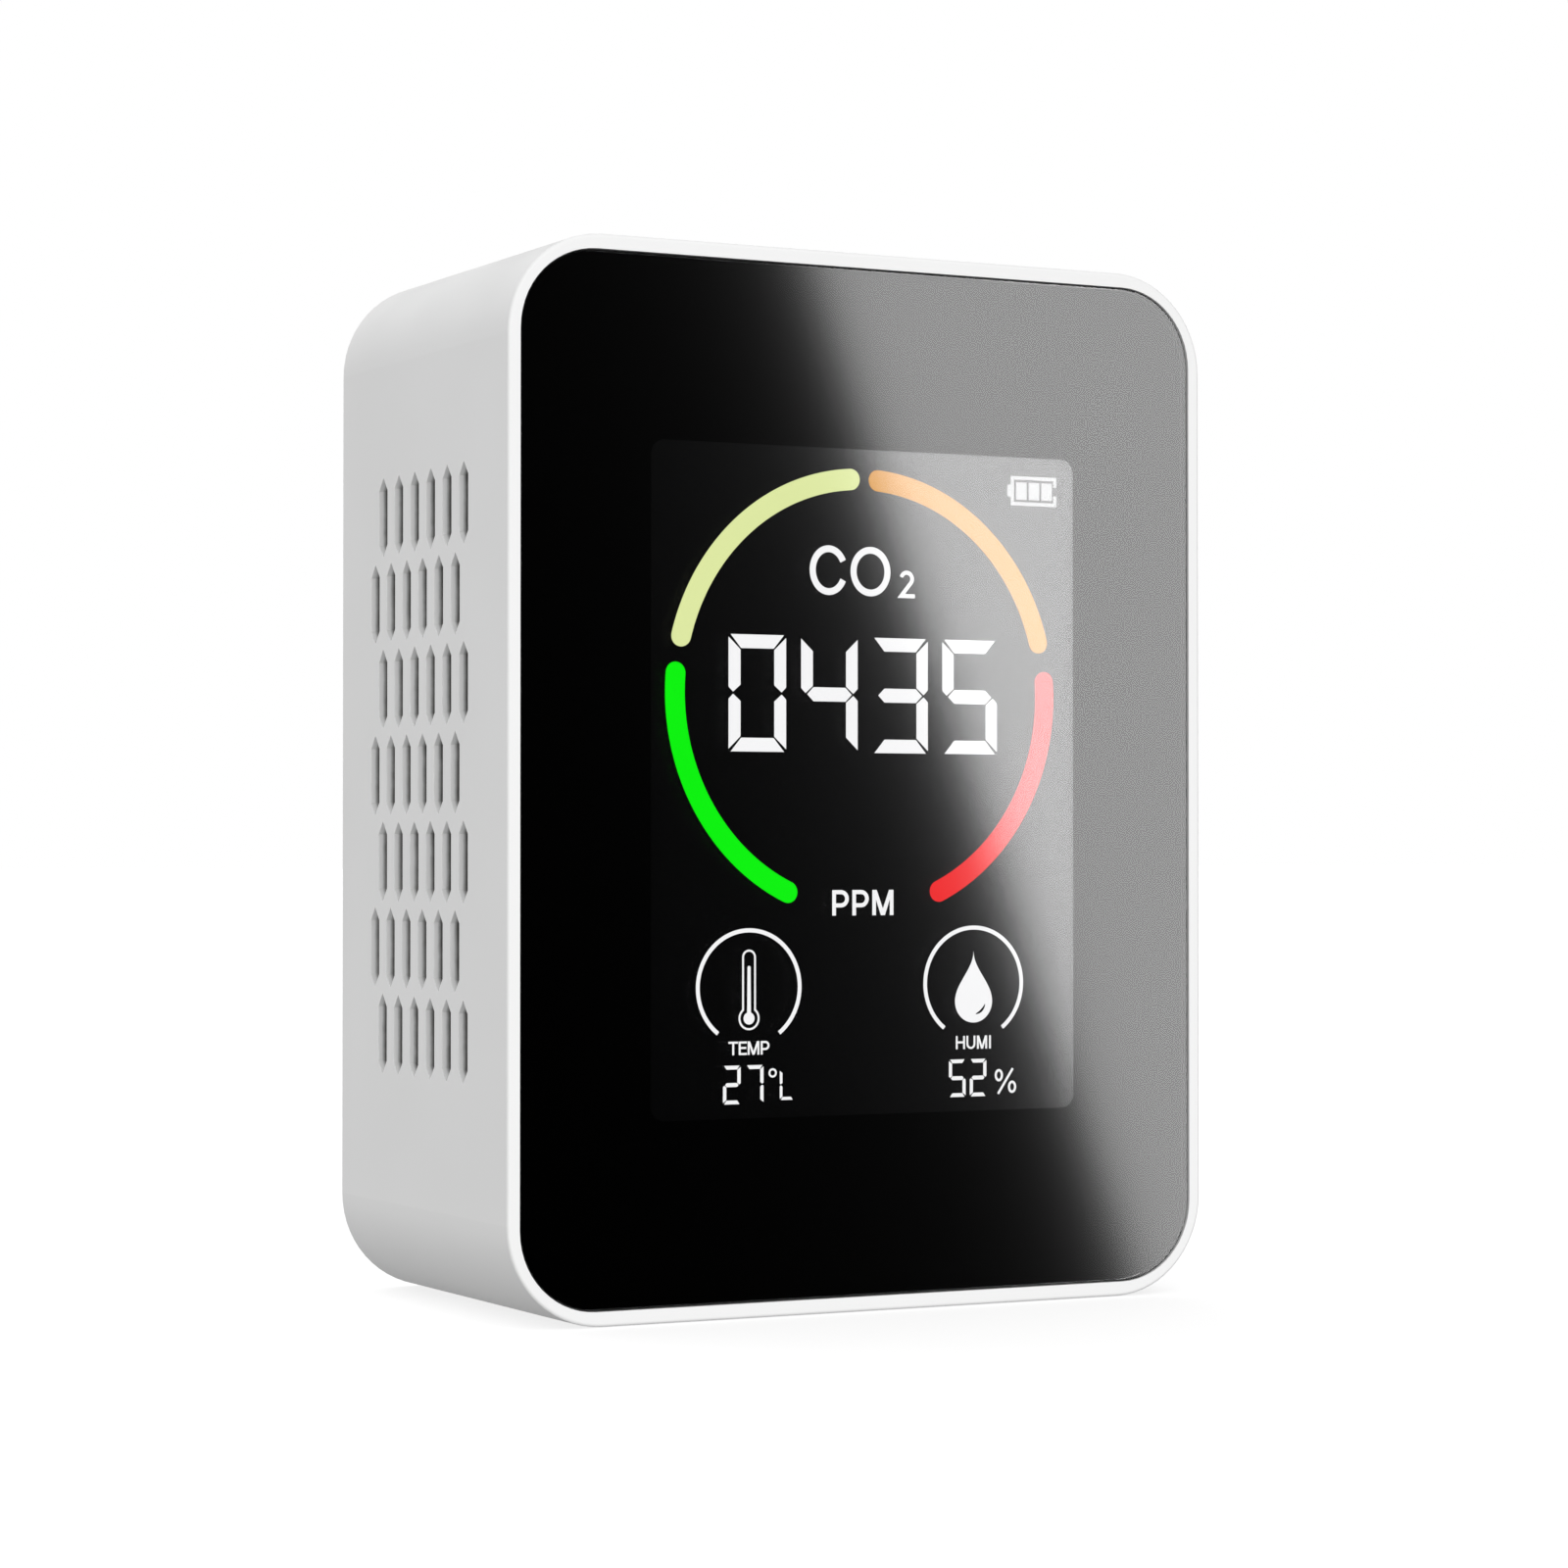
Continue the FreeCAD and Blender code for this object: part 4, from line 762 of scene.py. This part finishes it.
def temperature(white):
    """The temperature gauge, with its thermometer and its degrees sign."""
    shape = gauge(TEMPERATURE_MIDDLE, TEMPERATURE_LETTERS, TEMPERATURE_FIGURES)
    thermometer_picture(shape, *TEMPERATURE_MIDDLE)
    shape.band(loop(*DEGREES_DOT, steps=24), FINE_LINE, closed=True)
    digit(shape, "degrees", DEGREES_LEFT, DEGREES_LOW, DEGREES_SIGN)
    lit_piece(shape, "display_temperature", white)


def drop_outline(x):
    """A drop: a round belly whose sides draw in to a fine point at the top."""
    belly = DROP_WIDE / 2
    neck = DROP_TALL - belly
    rises = [i / 32 for i in range(1, 32)]
    sides = [(belly * (1 + math.cos(math.pi * rise)) / 2, DROP_LOW + belly + neck * rise)
             for rise in rises]
    right = [(x + reach, z) for reach, z in sides]
    left = [(x - reach, z) for reach, z in reversed(sides)]
    return arc(x, DROP_LOW + belly, belly, 180, 360, 32) + right + [(x, DROP_LOW + DROP_TALL)] + left


def humidity(white):
    """The humidity gauge, with its drop and its percent sign."""
    shape = gauge(HUMIDITY_MIDDLE, HUMIDITY_LETTERS, HUMIDITY_FIGURES)
    shape.block(drop_outline(HUMIDITY_MIDDLE[0]))
    for x, z in PERCENT_DOTS:
        shape.band(loop(x, z, PERCENT_REACH, PERCENT_RISE, 24), PERCENT_LINE, closed=True)
    shape.band(PERCENT_BAR, PERCENT_LINE)
    lit_piece(shape, "display_humidity", white)


def drop_nick():
    """The dark nick low on the drop, thickest in its middle."""
    nick = Shape(NICK_THICKNESS)
    steps = 12
    path = arc(HUMIDITY_MIDDLE[0] + NICK_SIDE, DROP_LOW + NICK_UP, NICK_RADIUS, *NICK_ENDS, steps)
    swells = [math.sin(math.pi * i / steps) for i in range(steps + 1)]
    nick.band(path, [NICK_THIN + NICK_SWELL * swell for swell in swells])
    front = CELL_FRONT - (LIT_THICKNESS + NICK_THICKNESS + 2 * CELL_GAP) * MM
    nick.spread(DISPLAY_SPREAD, DISPLAY_SHIFT)
    nick.made("display_drop_shine", front, black_ink(), "black_tape")


def battery_sign(dim):
    """The battery sign at the top right of the display: outline, terminal and bars."""
    sign = Shape()
    half = BATTERY_LINE / 2
    l, r = BATTERY_LEFT + half, BATTERY_LEFT + BATTERY_WIDE - half
    b, t = BATTERY_LOW + half, BATTERY_LOW + BATTERY_TALL - half
    centre = BATTERY_LOW + BATTERY_TALL / 2
    above, below = centre + BATTERY_OPEN_ABOVE, centre - BATTERY_OPEN_BELOW
    sign.band([(r, above), (r, t), (l, t), (l, b), (r, b), (r, below)], BATTERY_LINE)
    sign.block(box_outline(BATTERY_LEFT - TERMINAL_WIDE, centre - TERMINAL_HALF,
                           BATTERY_LEFT, centre + TERMINAL_HALF))
    for bar in range(BARS):
        start = BATTERY_LEFT + BAR_INSET + BAR_PITCH * bar
        sign.block(box_outline(start, centre - BAR_TALL / 2, start + BAR_WIDE, centre + BAR_TALL / 2))
    lit_piece(sign, "display_battery", dim)


def display():
    """Everything that shows through the window."""
    window_mask()
    colour_ring()
    white = lit("display_white_light", LIT_WHITE)
    reading(white)
    gas_label(white)
    unit_label(white)
    temperature(white)
    humidity(white)
    drop_nick()
    battery_sign(lit("display_dim_light", LIT_DIM_WHITE))


# ---- the marks on the back --------------------------------------------------

def button_sign():
    """The power sign printed on the button."""
    low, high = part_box("power_button")
    up = ((low.z + high.z) / 2 - WINDOW_MIDDLE.z) / MM
    bar_low, bar_high = POWER_BAR
    sign = Shape(POWER_THICKNESS)
    sign.band(arc(0, up, POWER_RADIUS, *POWER_ENDS, 40), POWER_LINE)
    sign.band([(0, up + bar_low), (0, up + bar_high)], POWER_LINE)
    ink = moulded("grey_print", (0.16, 0.16, 0.17), 0.55, 0.1, 0.002)
    sign.made("button_sign", high.y + POWER_PROUD * MM, ink, "black_plastic", "button", turned=True)


# ---- studio -----------------------------------------------------------------

CAMERA_AZIMUTH = -27.509
CAMERA_ELEVATION = -0.873
CAMERA_DISTANCE = 332.47
CAMERA_LENS = 92.75
CAMERA_SENSOR = 36.0
CAMERA_SIDE = -7.98
CAMERA_DROP = -0.27

# The floor's reach in metres and its own light, which keeps it white, and the gap in
# millimetres between it and the object.
FLOOR_REACH = 6.0
FLOOR_LIGHT = 0.7
FLOOR_GAP = 0.05

# The bright card's soft edge as it shows on the window: where it crosses the window's middle
# height, how far it leans for each millimetre up, and its parts, each with its share of the
# light and its softness.
EDGE_MIDDLE = 10.88
EDGE_LEAN = -0.367
EDGE_PARTS = ((0.78, 1.37), (0.19, 3.4), (0.03, 14.7))
CARD_LIGHT = 7.6
CARD_HALF_WIDE, CARD_HALF_TALL = 0.09, 0.13

# The world's light by direction: a base, what comes alike from both ends of an axis, and what
# comes more from an axis's positive end.
WORLD_BASE = 0.02
WORLD_FRONT_AND_BACK = 2.03
WORLD_ABOVE_AND_BELOW = 0.55
WORLD_MORE_ABOVE = 0.4
WORLD_MORE_RIGHT = -0.21

# Mirrors see a share of the world's light, and none of it in front, where only the card shows.
MIRRORED_SHARE = 0.25
MIRRORED_FRONT = -0.6


# the four corners of a flat sheet, by their sides
CORNER_SIDES = ((-1, -1), (1, -1), (1, 1), (-1, 1))


def direction(azimuth, elevation):
    """The direction from the object towards a viewer."""
    a, e = math.radians(azimuth), math.radians(elevation)
    return Vector((math.sin(a) * math.cos(e), -math.cos(a) * math.cos(e), math.sin(e)))


def camera():
    """The camera, just below the object's middle and to its left."""
    data = bpy.data.cameras.new("camera")
    data.lens = CAMERA_LENS
    data.sensor_width = CAMERA_SENSOR
    data.clip_start, data.clip_end = 0.01, 50.0
    eye = bpy.data.objects.new("camera", data)
    bpy.context.scene.collection.objects.link(eye)
    target = Vector((CAMERA_SIDE * MM, cad_low.y, CASE_MIDDLE.z + CAMERA_DROP * MM))
    back = direction(CAMERA_AZIMUTH, CAMERA_ELEVATION)
    eye.location = target + back * CAMERA_DISTANCE * MM
    eye.rotation_mode = "QUATERNION"
    eye.rotation_quaternion = (-back).to_track_quat("-Z", "Y")
    bpy.context.scene.camera = eye
    return eye


def sheet(name, corners, material):
    """A flat four-cornered stage piece."""
    mesh = bpy.data.meshes.new(name)
    mesh.from_pydata([tuple(corner) for corner in corners], [], [(0, 1, 2, 3)])
    mesh.materials.append(material)
    made = bpy.data.objects.new(name, mesh)
    bpy.context.scene.collection.objects.link(made)
    return made


def floor():
    """The plain pale floor."""
    paint = Paint("floor")
    paint.set(Base_Color=(0.4, 0.4, 0.4), Roughness=0.9, Specular_IOR_Level=0.0)
    paint.set(Emission_Color=(1.0, 1.0, 1.0), Emission_Strength=FLOOR_LIGHT)
    paint.material.cycles.emission_sampling = "NONE"
    level = cad_low.z - FLOOR_GAP * MM
    corners = [(a * FLOOR_REACH, b * FLOOR_REACH, level) for a, b in CORNER_SIDES]
    ground = sheet("floor", corners, paint.material)
    ground.visible_glossy = False
    ground.visible_transmission = False
    ground.visible_diffuse = False


def soft_step(paint, distance, softness):
    """A smooth step from 0 to 1 over a distance."""
    falling = paint.combine(distance, -1 / softness, "MULTIPLY")
    grown = paint.combine(math.e, falling, "POWER")
    return paint.combine(1.0, paint.combine(grown, 1.0, "ADD"), "DIVIDE")


def card_paint(eye):
    """The card's light: dark on the left, bright on the right, with a soft slanted edge."""
    paint = Paint("card_light")
    x, y, z = paint.axes(paint.place)
    # A ray from the eye that the window mirrors meets the card twice as far from the eye's own
    # line as it meets the window, because the card stands level with the eye.
    across = paint.combine(paint.combine(x, eye.x), 2 * MM, "DIVIDE")
    up = paint.combine(paint.combine(z, eye.z - 2 * WINDOW_MIDDLE.z), 2 * MM, "DIVIDE")
    edge = paint.combine(EDGE_MIDDLE, paint.combine(up, EDGE_LEAN, "MULTIPLY"))
    past = paint.combine(across, edge, "SUBTRACT")
    share = 0.0
    for part, softness in EDGE_PARTS:
        step = soft_step(paint, past, softness)
        share = paint.combine(share, paint.combine(step, part, "MULTIPLY"))
    light = paint.combine(share, CARD_LIGHT, "MULTIPLY")
    paint.set(Base_Color=(0.0, 0.0, 0.0), Specular_IOR_Level=0.0)
    paint.set(Emission_Color=(1.0, 1.0, 1.0), Emission_Strength=light)
    paint.material.cycles.emission_sampling = "NONE"
    return paint.material


def bright_card(eye):
    """The large card that the window mirrors towards the camera. Nothing else shows it."""
    middle_x = 2 * WINDOW_MIDDLE.x - eye.x
    middle_z = 2 * WINDOW_MIDDLE.z - eye.z
    corners = [(middle_x + a * CARD_HALF_WIDE, eye.y, middle_z + b * CARD_HALF_TALL)
               for a, b in CORNER_SIDES]
    card = sheet("bright_card", corners, card_paint(eye))
    card.visible_camera = False
    card.visible_diffuse = False
    card.visible_shadow = False
    mirrors = bpy.data.collections.new("card_mirrors")
    mirrors.objects.link(frame["nodes"]["front_window"])
    card.light_linking.receiver_collection = mirrors


def world():
    """Soft light from all round: brightest in front and above, white behind the object."""
    made = bpy.data.worlds.new("studio")
    made.use_nodes = True
    bpy.context.scene.world = made
    nodes = Nodes(made.node_tree)
    x, y, z = nodes.axes(nodes.node("ShaderNodeTexCoord").outputs["Generated"])
    light = WORLD_BASE
    for first, second, share in ((y, y, WORLD_FRONT_AND_BACK), (z, z, WORLD_ABOVE_AND_BELOW),
                                 (z, 1.0, WORLD_MORE_ABOVE), (x, 1.0, WORLD_MORE_RIGHT)):
        both = nodes.combine(first, second, "MULTIPLY")
        light = nodes.combine(light, nodes.combine(both, share, "MULTIPLY"))
    light = nodes.combine(light, WORLD_BASE, "MAXIMUM")
    rays = nodes.node("ShaderNodeLightPath").outputs
    mirrored = nodes.combine(rays["Is Glossy Ray"], rays["Is Transmission Ray"], "MAXIMUM")
    in_mirror = nodes.combine(y, MIRRORED_FRONT, "GREATER_THAN")
    in_mirror = nodes.combine(in_mirror, MIRRORED_SHARE, "MULTIPLY")
    hidden = nodes.combine(mirrored, nodes.combine(1.0, in_mirror, "SUBTRACT"), "MULTIPLY")
    light = nodes.combine(light, nodes.combine(1.0, hidden, "SUBTRACT"), "MULTIPLY")
    seen = rays["Is Camera Ray"]
    unseen = nodes.combine(1.0, seen, "SUBTRACT")
    background = made.node_tree.nodes["Background"]
    nodes.feed(background.inputs["Strength"], nodes.combine(nodes.combine(light, unseen, "MULTIPLY"), seen))
    nodes.feed(background.inputs["Color"], (1.0, 1.0, 1.0))


def studio():
    """The camera, the floor, the world's light and the card."""
    eye = camera()
    floor()
    world()
    bright_card(eye.location)
    bpy.context.scene.view_settings.view_transform = "Standard"


dress_parts()
display()
button_sign()
studio()
